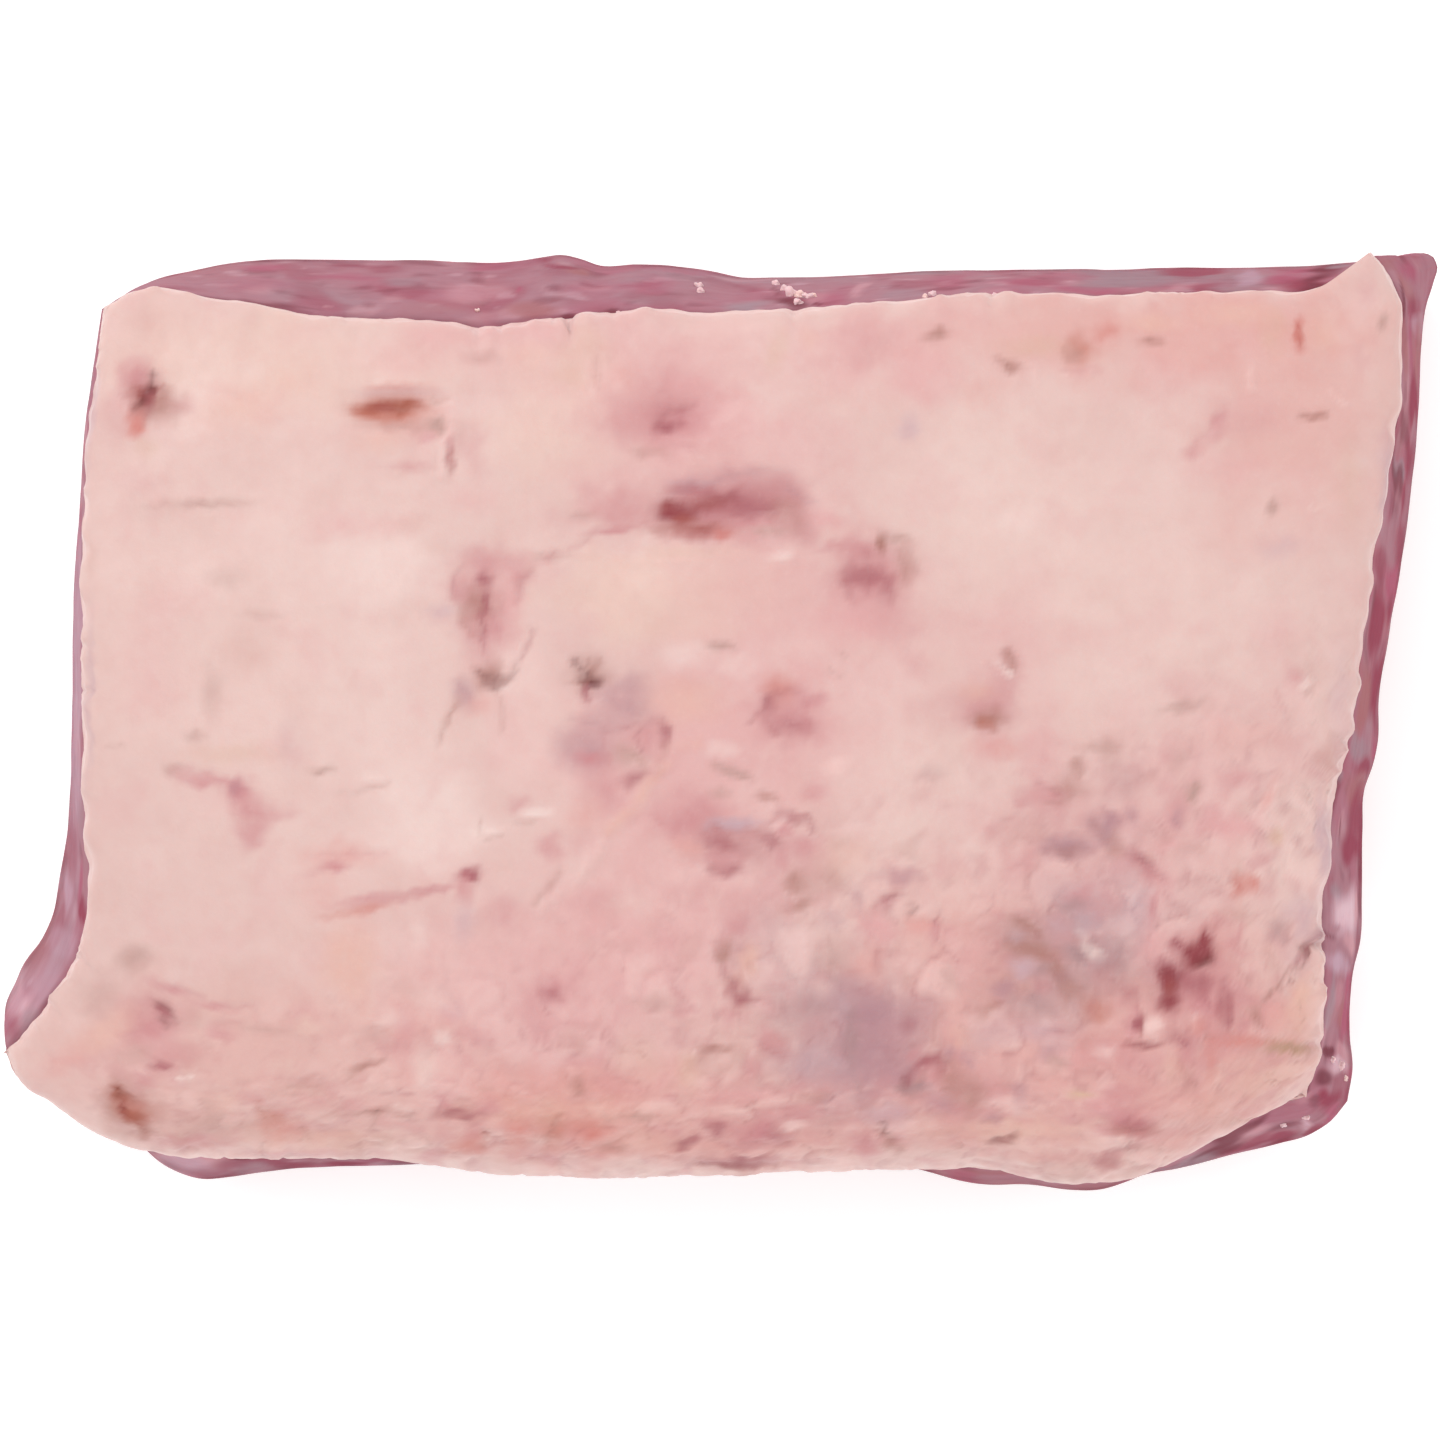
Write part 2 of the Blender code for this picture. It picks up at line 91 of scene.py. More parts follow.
# The upper edge of the fat, in the same form.
CAP_CORNERS = {
    "front left": (-117.9, -54.5),
    "back left": (-100.4, 67.2),
    "back right": (105.6, 76.2),
    "front right": (95.4, -61.2),
}
CAP_SIDES = {
    "back": ((0, 0), (4, 2.0), (12, 2.3), (16, 0.9), (23, -0.5), (37, -3.6), (50, -4.6), (57, -5.4),
             (61, -6.2), (66, -6.0), (82, -4.8), (104, -5.7), (127, -5.0), (146, -4.3), (154, -4.9),
             (162.5, -5.5), (170.6, -5.4), (178.7, -5.6), (186.9, -5.7), (195, -5.9), (198.2, -5.2),
             (201.5, -3.2), (203.1, -2.1), (206.2, 0)),
    "right": ((0, 0), (3, 2.8), (6.5, 5.2), (12, 5.9), (18, 6.2), (24, 6.7), (28, 6.5), (33, 5.4),
              (40.5, 5.0), (48.6, 4.0), (56.8, 3.6), (64.9, 3.1), (73, 2.8), (80, 2.3), (85, 1.3), (90, 0.7),
              (99, 0.3), (105.6, -0.2), (112, 0.6), (117, 1.2), (122, 1.7), (129, 1.9), (137.8, 0)),
    "front": ((0, 0), (5, 2.5), (15, 8.5), (28, 14.6), (55, 14.0), (82, 15.4), (108, 17.0), (136, 16.9),
              (150, 15.6), (178, 16.3), (188, 15.9), (195.1, 14.1), (201.1, 10.9), (205.8, 7.9),
              (211.3, 4.1), (213.4, 0)),
    "left": ((0, 0), (5.2, -3.9), (12.3, -8.0), (22.3, -11.4), (37.3, -9.1), (52.3, -7.0), (81.2, -2.8),
             (103.2, -0.7), (122.95, 0)),
}
# Along the front from left to right: how far the fat rolls down, and how far its lip then hangs.
ROLL_DROP = ((0.0, 9.0), (0.12, 13.0), (0.3, 18.0), (0.65, 18.0), (0.85, 13.0), (1.0, 7.0))
LIP_DROP = ((0.0, 3.0), (0.3, 8.0), (0.65, 8.0), (0.85, 4.0), (1.0, 2.0))
LIP_SHARE = 0.04
ROLL_SHARE = 0.16

# Low corners and edges of the crown: (x, y, reach, fall).
CORNER_FALLS = ((-118.0, -56.0, 66.0, 13.0), (102.0, -68.0, 52.0, 6.0))
EDGE_FALL = 4.0
EDGE_REACH = 26.0
CROWN_WAVE = 1.1
CROWN_WAVELENGTH = 46.0

# Hollows (negative) and swellings (positive) of the skin: x, y, half length, half width, turn in
# degrees, height.
SKIN_MARKS = (
    (-93.4, 53.6, 3.4, 2.8, 0, -3.0),
    (-53.6, 50.7, 7.0, 2.4, 0, -2.2),
    (-44.6, 45.5, 5.0, 2.2, 70, 1.6),
    (-7.7, 49.5, 6.0, 4.0, 20, -2.0),
    (0.1, 34.4, 13.0, 4.0, 5, -2.8),
    (-7.7, 20.7, 23.0, 9.0, 0, 2.0),
    (-38.1, 16.2, 6.0, 11.0, 0, -1.6),
    (-21.9, 6.7, 3.0, 3.0, 0, -2.6),
    (10.7, 1.2, 4.0, 4.0, 0, -1.8),
    (-11.3, -2.5, 3.6, 3.2, 0, -1.4),
    (24.5, 24.3, 7.0, 6.0, 0, -1.2),
    (43.2, 0.7, 5.5, 5.0, 0, -1.4),
    (-1.5, -18.0, 12.0, 7.0, 10, -1.3),
    (22.8, -50.5, 14.0, 11.0, 0, -1.6),
    (53.7, -39.1, 10.0, 8.0, 0, -1.6),
    (75.7, -39.9, 7.0, 9.0, 0, -2.4),
    (-96.7, -61.9, 3.0, 3.0, 0, -1.6),
    (3.3, -39.1, 2.6, 7.0, 0, -1.6),
    (36.7, -56.2, 4.0, 4.0, 0, -1.4),
    (-87.7, -48.1, 8.0, 5.0, 0, -1.2),
    (96.0, -46.0, 5.0, 11.0, 0, 2.2),
)
SKIN_WAVE = 0.5
SKIN_WAVELENGTH = 12.0
LOBE_HEIGHTS = (0.5, 0.22, 0.07)
HOLLOW_SHARE = 0.55
STROKE_DEPTH = 0.42
# Strengths of all the thin marks and of the stains, painted highlights and painted shade, as shares of their
# own.
STROKE_SHARE = 0.68
STAIN_AND_LIGHT_SHARE = 1.12
# Lobes of broken fat in three sizes: their width and how strongly they are tinted.
LOBE_LENGTHS = (6.5, 3.2, 1.7)
LOBE_TINTS = (0.5, 0.26, 0.08)
MOTTLE_SHARE = 0.16
# The fat is broken up towards the front and right: the slant of that zone and where it fades in.
BROKEN_SLANT = 0.35
BROKEN_FROM, BROKEN_TO = 5, 55
EDGE_RAGGEDNESS = 1.0
RAG_LENGTH = 6.5
RAG_REACH = 6.0
# The ragged edge fades in over this share, frays towards the front and is cut cleaner at the back.
RAG_START = 0.14
FRAY_REACH = 40
CLEAN_FROM, CLEAN_TO = 50, 62
# Nibbled stretches of the edge: their length, then the nibbles as (share, length, seed).
NIBBLED_STRETCH = 17.0
NIBBLES = ((1.3, 2.6, 15), (0.9, 1.1, 16))
# The rounded rim of the fat: how far it drops at its edge and over what width, and how its side swells.
RIM_DROP = 0.7
RIM_ROUND = 1.6
RIM_SWELL = 0.5
RIM_LUMPS = 0.35
# Tears of the fat's edge: x, y, half length along the edge, how far the edge is pulled (x, y).
EDGE_TEARS = (
    (95.8, -36.6, 1.0, -2.6, 0.0), (97.0, -41.0, 2.4, -0.6, 0.0), (97.5, -52.6, 0.9, -1.2, 0.0),
    (-24.6, 66.3, 0.7, 0.0, -1.9), (-21.6, 66.5, 1.5, 0.0, 1.1), (-17.5, 66.5, 1.0, 0.0, -0.7),
    (-12.5, 66.8, 1.6, 0.0, 0.9), (47.0, 70.6, 1.3, 0.0, 0.7), (35.6, 70.0, 1.0, 0.0, 0.7),
    (57.0, 70.8, 2.2, 0.0, 0.4), (101.5, -3.2, 1.2, -0.9, 0.0), (99.0, -16.4, 2.2, -1.2, 0.0),
    (102.4, 6.4, 1.5, 0.9, 0.0), (101.8, 22.5, 2.0, 0.9, 0.0), (108.4, 47.8, 1.8, -0.7, 0.0),
    (-39.5, 66.0, 0.8, 0.0, -1.0), (-36.0, 66.0, 0.7, 0.0, -0.8), (-30.5, 66.0, 0.8, 0.0, 0.5),
    (12.0, 67.5, 1.0, 0.0, -0.8), (69.0, 70.0, 0.9, 0.0, 0.5), (44.0, 69.8, 0.8, 0.0, -0.6),
)

# Lean: fibre bundles run along each cut side as long low ridges.
FIBRE_LENGTH = 20.0
FIBRE_PITCH = 6.5
FIBRE_HEIGHT = 0.9
SLUMP_LENGTH = 38.0
SLUMP_HEIGHT = 0.7
RELIEF_SHARE = 0.28
BUNDLE_HEIGHT = 0.13
STRAND_HEIGHT = 0.03
# Splits between bundles: how deep, and how narrow.
SPLIT_DEPTH = 0.1
SPLIT_NARROWNESS = 7

# ------------------------------ mesh fineness
SKIN_ACROSS = 330
SKIN_DEEP = 214
RIM_ROWS = 7
UNDER_RINGS = 12
WALL_ROWS = 64
RING_ACROSS = 272
RING_DEEP = 178
HIDDEN_RINGS = 8
CENTRE = np.array((0.5,))

# ------------------------------ pigments, as display red, green, blue
# pearl and ivory also serve for painted highlights and glints among the marks, and umber and rose for some
# painted shade beside raised places.
PIGMENTS = {
    "base": (232, 196, 190), "ivory": (246, 220, 214), "cream": (238, 206, 199), "warm": (238, 204, 192),
    "pearl": (246, 208, 203), "peach": (234, 186, 172), "straw": (222, 182, 160), "olive": (190, 148, 124),
    "buff": (222, 180, 172), "taupe": (190, 150, 142), "pink": (230, 172, 172), "salmon": (228, 168, 162),
    "rose": (208, 140, 144), "coral": (212, 126, 116), "amber": (196, 116, 98), "rust": (166, 86, 68),
    "brick": (166, 82, 76), "wine": (172, 96, 104), "blood": (150, 62, 70), "clot": (112, 52, 50),
    "umber": (178, 124, 114), "mauve": (184, 138, 146), "slate": (176, 138, 140), "lavender": (196, 162, 168),
    "lilac": (206, 172, 180), "petal": (236, 198, 202),
}
# Of the lean's pigments, dark also serves for painted shade and lilac for a painted highlight.
LEAN_PIGMENTS = {
    "mauve": (172, 124, 135), "crimson": (152, 78, 94), "magenta": (174, 98, 118), "brick": (168, 110, 114),
    "grey": (162, 136, 145), "pale": (222, 186, 196), "blush": (210, 158, 166), "lilac": (196, 162, 177),
    "dark": (122, 66, 76),
}
LEAN_SHARE = 0.8
# The lean's marks and crumbs are placed as an eye at this height sees them at the mark level.
EYE_HEIGHT = 1500.0
MARK_LEVEL = 23.0
ALBEDO_SHARE = 0.75
# Painted shade: the lean is darker close under the fat, over this share of its height, and low down, above
# the limb.
UNDER_FAT_SHADE = 0.8
UNDER_FAT_SHARE = 0.07
LOW_SHADE = 0.5
LOW_REACH = 7
# Towards the right the lean has less grey and pale sinew, between these places.
RIGHT_FROM, RIGHT_TO = 80, 98

# Crumbs of fat that stick to the lean: x, y, radius, pigment. The pearl crumbs at (-40.6, 68.3) and
# (61.8, -74.5) and the crumb at (61, -75.5) sit where glints show: their pale colour is partly a painted
# highlight.
CRUMB_SIDES = 20
CRUMB_RINGS = 12
CRUMB_SHARE = 0.85
CRUMB_LUMPS = 0.6
CRUMB_GRIT = 0.25
CRUMBS = (
    (10.9, 71.8, 0.8, "petal"), (11.9, 71, 1, "petal"), (13.1, 70.6, 0.9, "pearl"),
    (14.4, 70.5, 0.8, "petal"), (15.4, 70.6, 0.6, "pearl"), (9.3, 72.8, 0.6, "petal"),
    (12.9, 69.5, 0.7, "petal"), (-3.8, 72.5, 0.7, "petal"), (-3.3, 71.5, 0.6, "petal"),
    (-40.6, 68.3, 0.4, "pearl"), (35.4, 71.1, 0.7, "petal"), (34.3, 70.6, 0.5, "pearl"),
    (103.2, -57.5, 0.8, "petal"), (102, -56.5, 0.6, "petal"), (104, -59.5, 0.5, "pearl"),
    (97.5, -66.1, 0.6, "petal"), (61, -75.5, 1.1, "petal"), (61.8, -74.5, 0.7, "pearl"),
    (-16.9, 67.8, 0.5, "petal"), (46, 70.6, 0.5, "petal"), (94, -67.1, 0.5, "petal"),
)

# Places on the lean's sides, seen from above: x, y, half length, half width, turn, pigment, strength.
# The thin dark ones that follow the fat's edge and the dark spots in its notches are painted shade; the
# small lilac one at (-46.3, 77.3) is a painted highlight.
LEAN_FIELDS = (
    (-75.8, 75.6, 5, 0.8, 0, "magenta", 0.7), (-59.1, 75.6, 7.5, 0.5, 0, "crimson", 0.6),
    (-64.1, 74.3, 6.7, 0.7, 0, "magenta", 0.6), (-52.5, 73.3, 4.3, 1.3, 0, "grey", 0.5),
    (-46.3, 77.3, 2, 0.5, 0, "lilac", 0.6), (-39.3, 75.5, 4, 0.7, 0, "magenta", 0.7),
    (-71.6, 68.8, 7, 0.5, -8, "dark", 0.4), (-53.3, 71.6, 15, 0.3, 4, "dark", 0.25),
    (-24.1, 75.3, 2.3, 1.3, 0, "brick", 0.9), (-31.6, 69, 5, 1.3, 0, "brick", 0.8),
    (-46.6, 69.1, 10, 1.7, 0, "brick", 0.3), (-26.6, 76.3, 2.7, 0.5, 0, "crimson", 0.8),
    (-19.9, 71.6, 8.3, 2.3, 0, "magenta", 0.3), (-11.6, 72.6, 5.7, 1.7, 0, "magenta", 0.5),
    (-3.3, 71.3, 6.7, 2, 0, "mauve", 0.7), (4.3, 69.1, 3.7, 1.2, 0, "grey", 0.9),
    (-25.3, 67.1, 1.5, 1, 0, "dark", 1), (-18.1, 67.8, 1.3, 1, 0, "dark", 0.8),
    (-32.8, 72, 1, 0.7, 0, "magenta", 0.9), (-66.1, 69.3, 0.8, 0.5, 0, "blush", 0.9),
    (-81.6, 72.6, 6.7, 1.3, 0, "mauve", 0.6), (11.4, 69.5, 2.3, 1.2, 0, "dark", 0.9),
    (9.4, 71.6, 0.7, 0.7, 0, "dark", 0.5), (15.4, 70, 0.8, 0.5, 0, "dark", 0.8),
    (19.1, 70.6, 4.3, 1.5, 0, "magenta", 0.5), (22.8, 71.6, 1.7, 0.8, 30, "blush", 0.5),
    (30.1, 71.3, 5, 1.3, 0, "grey", 0.5), (39.8, 73.3, 5.3, 1, 0, "magenta", 0.5),
    (48.5, 72.5, 6.7, 1.2, 0, "magenta", 0.5), (61, 71.6, 5.7, 1, 0, "magenta", 0.8),
    (68.5, 74, 8.3, 1.3, 0, "grey", 0.6), (78.5, 73.3, 18.3, 1.7, 0, "dark", 0.2),
    (78.5, 73.3, 18.3, 1.7, 0, "grey", 0.4), (80.1, 75, 6, 0.7, 0, "crimson", 0.8),
    (80.1, 72, 5, 0.5, 0, "crimson", 0.8), (88.5, 74, 2.3, 1.3, 20, "lilac", 0.5),
    (86.8, 71.6, 2.3, 0.7, 0, "grey", 0.6), (95.2, 74, 4.3, 1, 12, "magenta", 0.9),
    (97.8, 73.1, 6, 1.8, 10, "crimson", 1), (99.8, 73.8, 4, 1.5, 26, "dark", 0.9),
    (103.5, 76.3, 2, 0.5, 20, "grey", 0.8), (46.8, 75.3, 28.4, 0.3, 1, "grey", 0.6),
    (111.8, 76.3, 2.7, 1.3, 0, "brick", 0.6), (115.5, 74.6, 2, 2.7, 0, "magenta", 0.9),
    (114.8, 71.6, 0.8, 3.3, 20, "brick", 0.7), (115.5, 68.3, 0.8, 2.3, 0, "crimson", 0.8),
    (116.2, 65.8, 0.8, 2, 0, "lilac", 0.6), (114.3, 61.6, 0.5, 6.7, 0, "brick", 0.8),
    (115.3, 61.6, 0.7, 6.7, 0, "magenta", 0.7), (116.3, 60, 0.8, 6.7, 0, "brick", 0.7),
    (115.7, 53.3, 0.8, 5, 0, "crimson", 1), (114.3, 48.3, 0.7, 4.3, 0, "dark", 0.5),
    (114.8, 43.3, 1.2, 4, 0, "crimson", 0.9), (112.8, 41.6, 0.5, 3.3, 0, "grey", 0.8),
    (113.5, 36.6, 1.2, 4, 0, "crimson", 0.9), (112, 35.8, 0.7, 4, 0, "dark", 0.4),
    (111.5, 30.8, 1.3, 3, 0, "mauve", 0.8), (113.2, 29.9, 1.3, 6.7, 0, "crimson", 0.8),
    (109.8, 26.6, 1.7, 3.3, 0, "crimson", 0.7), (112.3, 22.4, 1.7, 4, 0, "magenta", 1),
    (109.8, 16.6, 1.8, 6, 0, "crimson", 1), (107.8, 13.3, 0.5, 5, 0, "dark", 0.4),
    (111.5, 13.3, 0.8, 4, 0, "blush", 0.3), (107.5, 3.3, 1.3, 6.7, 0, "brick", 0.9),
    (109.5, 4.9, 1.5, 10, 0, "crimson", 1), (106.8, -4.3, 1.3, 2.3, 0, "grey", 0.7),
    (109.2, -4.3, 0.8, 2.3, 0, "magenta", 0.9), (107.2, -7.4, 1.7, 1.7, 0, "crimson", 0.9),
    (103.5, -9.4, 1, 1.3, 0, "grey", 0.8), (105.8, -11.8, 1.7, 4, 0, "brick", 0.8),
    (106.5, -16.8, 1.8, 5.7, 0, "crimson", 0.9), (103.5, -17.6, 0.5, 3.3, 0, "dark", 0.7),
    (105.5, -20.9, 1.7, 3.3, 0, "crimson", 1), (101.8, -20.9, 0.8, 2.7, 0, "mauve", 0.8),
    (107.2, -24.8, 0.7, 2.3, 0, "crimson", 0.9), (102.7, -28.4, 1.7, 2, 0, "grey", 0.7),
    (104.2, -31.8, 2.8, 4.3, 0, "pale", 1), (106.2, -30.9, 0.7, 2.7, 0, "blush", 0.9),
    (101.8, -34.3, 2.3, 1, 0, "mauve", 0.8), (100.5, -36.1, 1.8, 0.7, 20, "dark", 0.8),
    (105.2, -36.8, 1, 2, 0, "blush", 0.8), (102.7, -40.9, 1.7, 2.3, 0, "lilac", 0.9),
    (104.3, -44.3, 0.8, 2.3, 0, "magenta", 0.8), (101.8, -46.8, 0.5, 5, 0, "grey", 0.7),
    (103.2, -48.8, 1.2, 2.7, 0, "brick", 0.8), (104.5, -50.1, 0.7, 4, 0, "magenta", 1),
    (102.2, -53.5, 0.8, 2.3, 0, "mauve", 0.8), (101.2, -55.5, 0.7, 0.7, 0, "dark", 0.9),
    (103.5, -55.5, 1, 1.7, 0, "blush", 0.6), (102.7, -57.8, 1.5, 1.3, 0, "pale", 0.8),
    (104.5, -58.5, 0.8, 1.3, 0, "magenta", 0.9), (100.2, -59.8, 1.5, 1.3, 20, "dark", 0.8),
    (101.2, -63.1, 2, 1.7, 0, "crimson", 1), (98.8, -63.8, 1.2, 1.3, 0, "dark", 0.6),
    (101.8, -65.5, 1.3, 1.3, 0, "magenta", 0.9), (103.8, -62.8, 0.7, 2, 0, "magenta", 0.7),
    (97.8, -66.8, 0.8, 1.5, 0, "pale", 0.6), (99.3, -67.8, 2, 0.7, 25, "crimson", 0.8),
    (94.3, -67.8, 3.3, 0.8, 15, "dark", 0.6), (94.3, -69.3, 3, 0.7, 14, "crimson", 0.9),
    (88.5, -68.5, 3.3, 0.8, 16, "blush", 0.6), (87.7, -70.6, 5.7, 0.8, 18, "crimson", 0.8),
    (82.6, -71.8, 4.3, 0.8, 22, "dark", 0.6), (78.5, -73.5, 5, 1, 20, "grey", 0.8),
    (71.8, -75.3, 4.3, 0.5, 12, "grey", 0.8), (84.3, -71.1, 3.3, 0.5, 25, "dark", 0.5),
    (63.5, -76.5, 4.3, 1, 0, "lilac", 0.9), (56.8, -76.5, 4.3, 0.8, 0, "lilac", 0.8),
    (46.8, -76.1, 7.3, 0.7, 0, "brick", 0.6), (39.3, -74.6, 4.3, 0.5, 0, "dark", 1),
    (87.3, -68.5, 10, 0.5, 28, "dark", 0.8), (53.5, -75.5, 6, 0.3, 0, "dark", 0.5),
    (40.1, -76.5, 3.3, 0.7, 0, "magenta", 0.6), (-89.2, -73.5, 8.3, 2.7, 0, "blush", 0.9),
    (-39.9, 71.6, 7.3, 2, 0, "blush", 0.4), (114, 70, 0.5, 2.7, 0, "dark", 0.8),
    (112.5, 39.9, 0.5, 5, 0, "dark", 0.7), (108.5, 19.9, 0.5, 3.3, 0, "dark", 0.4),
    (-107.7, 16.6, 1.3, 46.7, 0, "lilac", 0.5), (-106.7, 53.3, 0.8, 15, 0, "blush", 0.5),
    (-113.3, -44.3, 5, 5, -50, "lilac", 0.4), (-116.7, -46.8, 2.7, 5, 20, "pale", 0.35),
    (-115, -50.1, 2, 3.3, 35, "grey", 0.6), (-109, -28.4, 0.8, 4.3, 0, "lilac", 0.6),
    (-106, -32.1, 0.5, 2.3, 0, "crimson", 1), (-106.7, -26.8, 0.5, 4, 0, "magenta", 0.8),
    (-110, -36.8, 2, 3.3, 30, "lilac", 0.4), (-90, -74.3, 5.7, 1.7, -10, "lilac", 0.6),
    (-81.6, -74.1, 4.3, 1.3, 10, "crimson", 0.6), (-79, -73, 2.3, 0.7, 0, "dark", 0.9),
    (-71.6, -73.8, 6.7, 0.7, 0, "crimson", 0.7), (-62.5, -73.8, 4.3, 0.5, 0, "crimson", 0.9),
    (-53.3, -74, 5, 0.5, 0, "grey", 0.6), (-98.3, -70.6, 3.3, 0.5, -30, "dark", 0.6),
)

# Wide soft fields of colour on the fat: x, y, half length, half width, turn, pigment, strength.
FIELDS = (
    (-74.7, 12.9, 32.5, 34.1, 0, "cream", 0.55), (-74.7, 58.5, 30.9, 9.8, 0, "warm", 0.5),
    (-53.6, 25.9, 9.8, 6.5, 0, "ivory", 0.6), (-9.7, 20.2, 21.1, 7.8, 0, "warm", 0.8),
    (45.6, 35.7, 17.9, 16.3, 0, "cream", 0.8), (70, 19.4, 24.4, 17.9, 0, "cream", 0.5),
    (34.2, -6.6, 16.3, 14.6, 0, "cream", 0.55), (-47.1, -16.3, 9.8, 9.8, 0, "ivory", 0.6),
    (-12.9, 56.8, 22.8, 11.4, 0, "pink", 0.5), (0.1, 43.8, 21.1, 9.8, 0, "pink", 0.6),
    (76.5, 63.3, 42.3, 8.1, 0, "salmon", 0.7), (94.4, 47.1, 17.9, 17.9, 0, "salmon", 0.5),
    (26.1, 60.1, 17.9, 8.1, 0, "pink", 0.55), (13.1, 16.2, 24.4, 17.9, -30, "pink", 0.5),
    (-3.2, -6.6, 26, 17.9, 0, "pink", 0.65), (-25.9, -45.6, 30.9, 21.1, 0, "pink", 0.55),
    (-3.2, -64.1, 52.5, 9.9, 0, "salmon", 0.7), (-79.6, -55.4, 32.5, 13.8, 0, "salmon", 0.45),
    (-79.6, -53.7, 30.9, 13, 0, "buff", 0.35), (61.9, -45.6, 42.3, 24.4, 0, "salmon", 0.7),
    (78.1, -9.8, 19.5, 14.6, 0, "pink", 0.4), (21.2, -50.5, 15.4, 13.8, 0, "mauve", 0.75),
    (55.4, -37.5, 15.4, 9.8, 0, "slate", 0.65), (65.1, -29.3, 13, 9.8, 0, "lilac", 0.4),
    (55.4, -18, 17.9, 11.4, 0, "rose", 0.3), (-26.2, -64.1, 13.1, 8.2, 0, "coral", 0.3),
    (74.9, 56.8, 9.8, 6.5, 0, "pink", 0.2), (-32.4, 43.8, 9.8, 8.1, 0, "warm", 0.3),
    (-25.9, 52, 9.8, 13, 0, "warm", 0.4), (-91, 63.3, 6.5, 6.5, 0, "buff", 0.3),
    (-32.4, 3.2, 6.5, 19.5, 15, "pearl", 0.3), (-55.2, 3.2, 11.4, 19.5, 0, "ivory", 0.25),
    (91.1, -22.8, 8.1, 17.9, 0, "cream", 0.4), (83, -57, 14.6, 8.1, 0, "peach", 0.4),
    (59.4, -55.4, 11.4, 6.5, 0, "salmon", 0.4), (39.1, -37.5, 8.1, 13, 0, "salmon", 0.3),
    (-9.7, -34.2, 17.9, 14.6, 0, "pink", 0.5), (-48.7, -48.9, 9.8, 9.8, 0, "salmon", 0.3),
    (47.2, 12.9, 9.8, 9.8, 0, "pink", 0.3), (0.1, -52.1, 14.6, 9.8, 0, "buff", 0.35),
    (74.9, -55.4, 17.9, 9.8, 0, "rose", 0.25), (39.1, -59.4, 9.8, 5.9, 0, "rose", 0.35),
    (8.2, -23.7, 7.5, 5.9, 0, "rose", 0.35), (38.3, 1.2, 7.5, 5.9, 0, "rose", 0.3),
    (-50.3, 49.3, 9.8, 4.2, 0, "salmon", 0.4), (-94.2, 49.5, 5.5, 7.2, 0, "rose", 0.3),
    (-96.7, -52.1, 8.1, 9.8, 0, "rose", 0.2), (9.8, 34.4, 9.8, 3.9, 0, "rose", 0.3),
    (82.7, -49.2, 9.1, 6.5, 0, "rose", 0.3), (38.7, -61.2, 10.8, 5.6, 0, "rose", 0.35),
    (-21.1, 37.6, 8.1, 4.2, 0, "pink", 0.35), (52.1, -47.6, 8.1, 5.9, 0, "mauve", 0.3),
    (8.5, -35.9, 7.5, 5.9, 0, "mauve", 0.3), (-35.7, 64.1, 9.8, 5.9, 0, "pink", 0.4),
    (4.1, 34.7, 10.4, 3.9, 0, "wine", 0.3), (-50.3, 60.9, 8.1, 5.5, 0, "pink", 0.35),
)
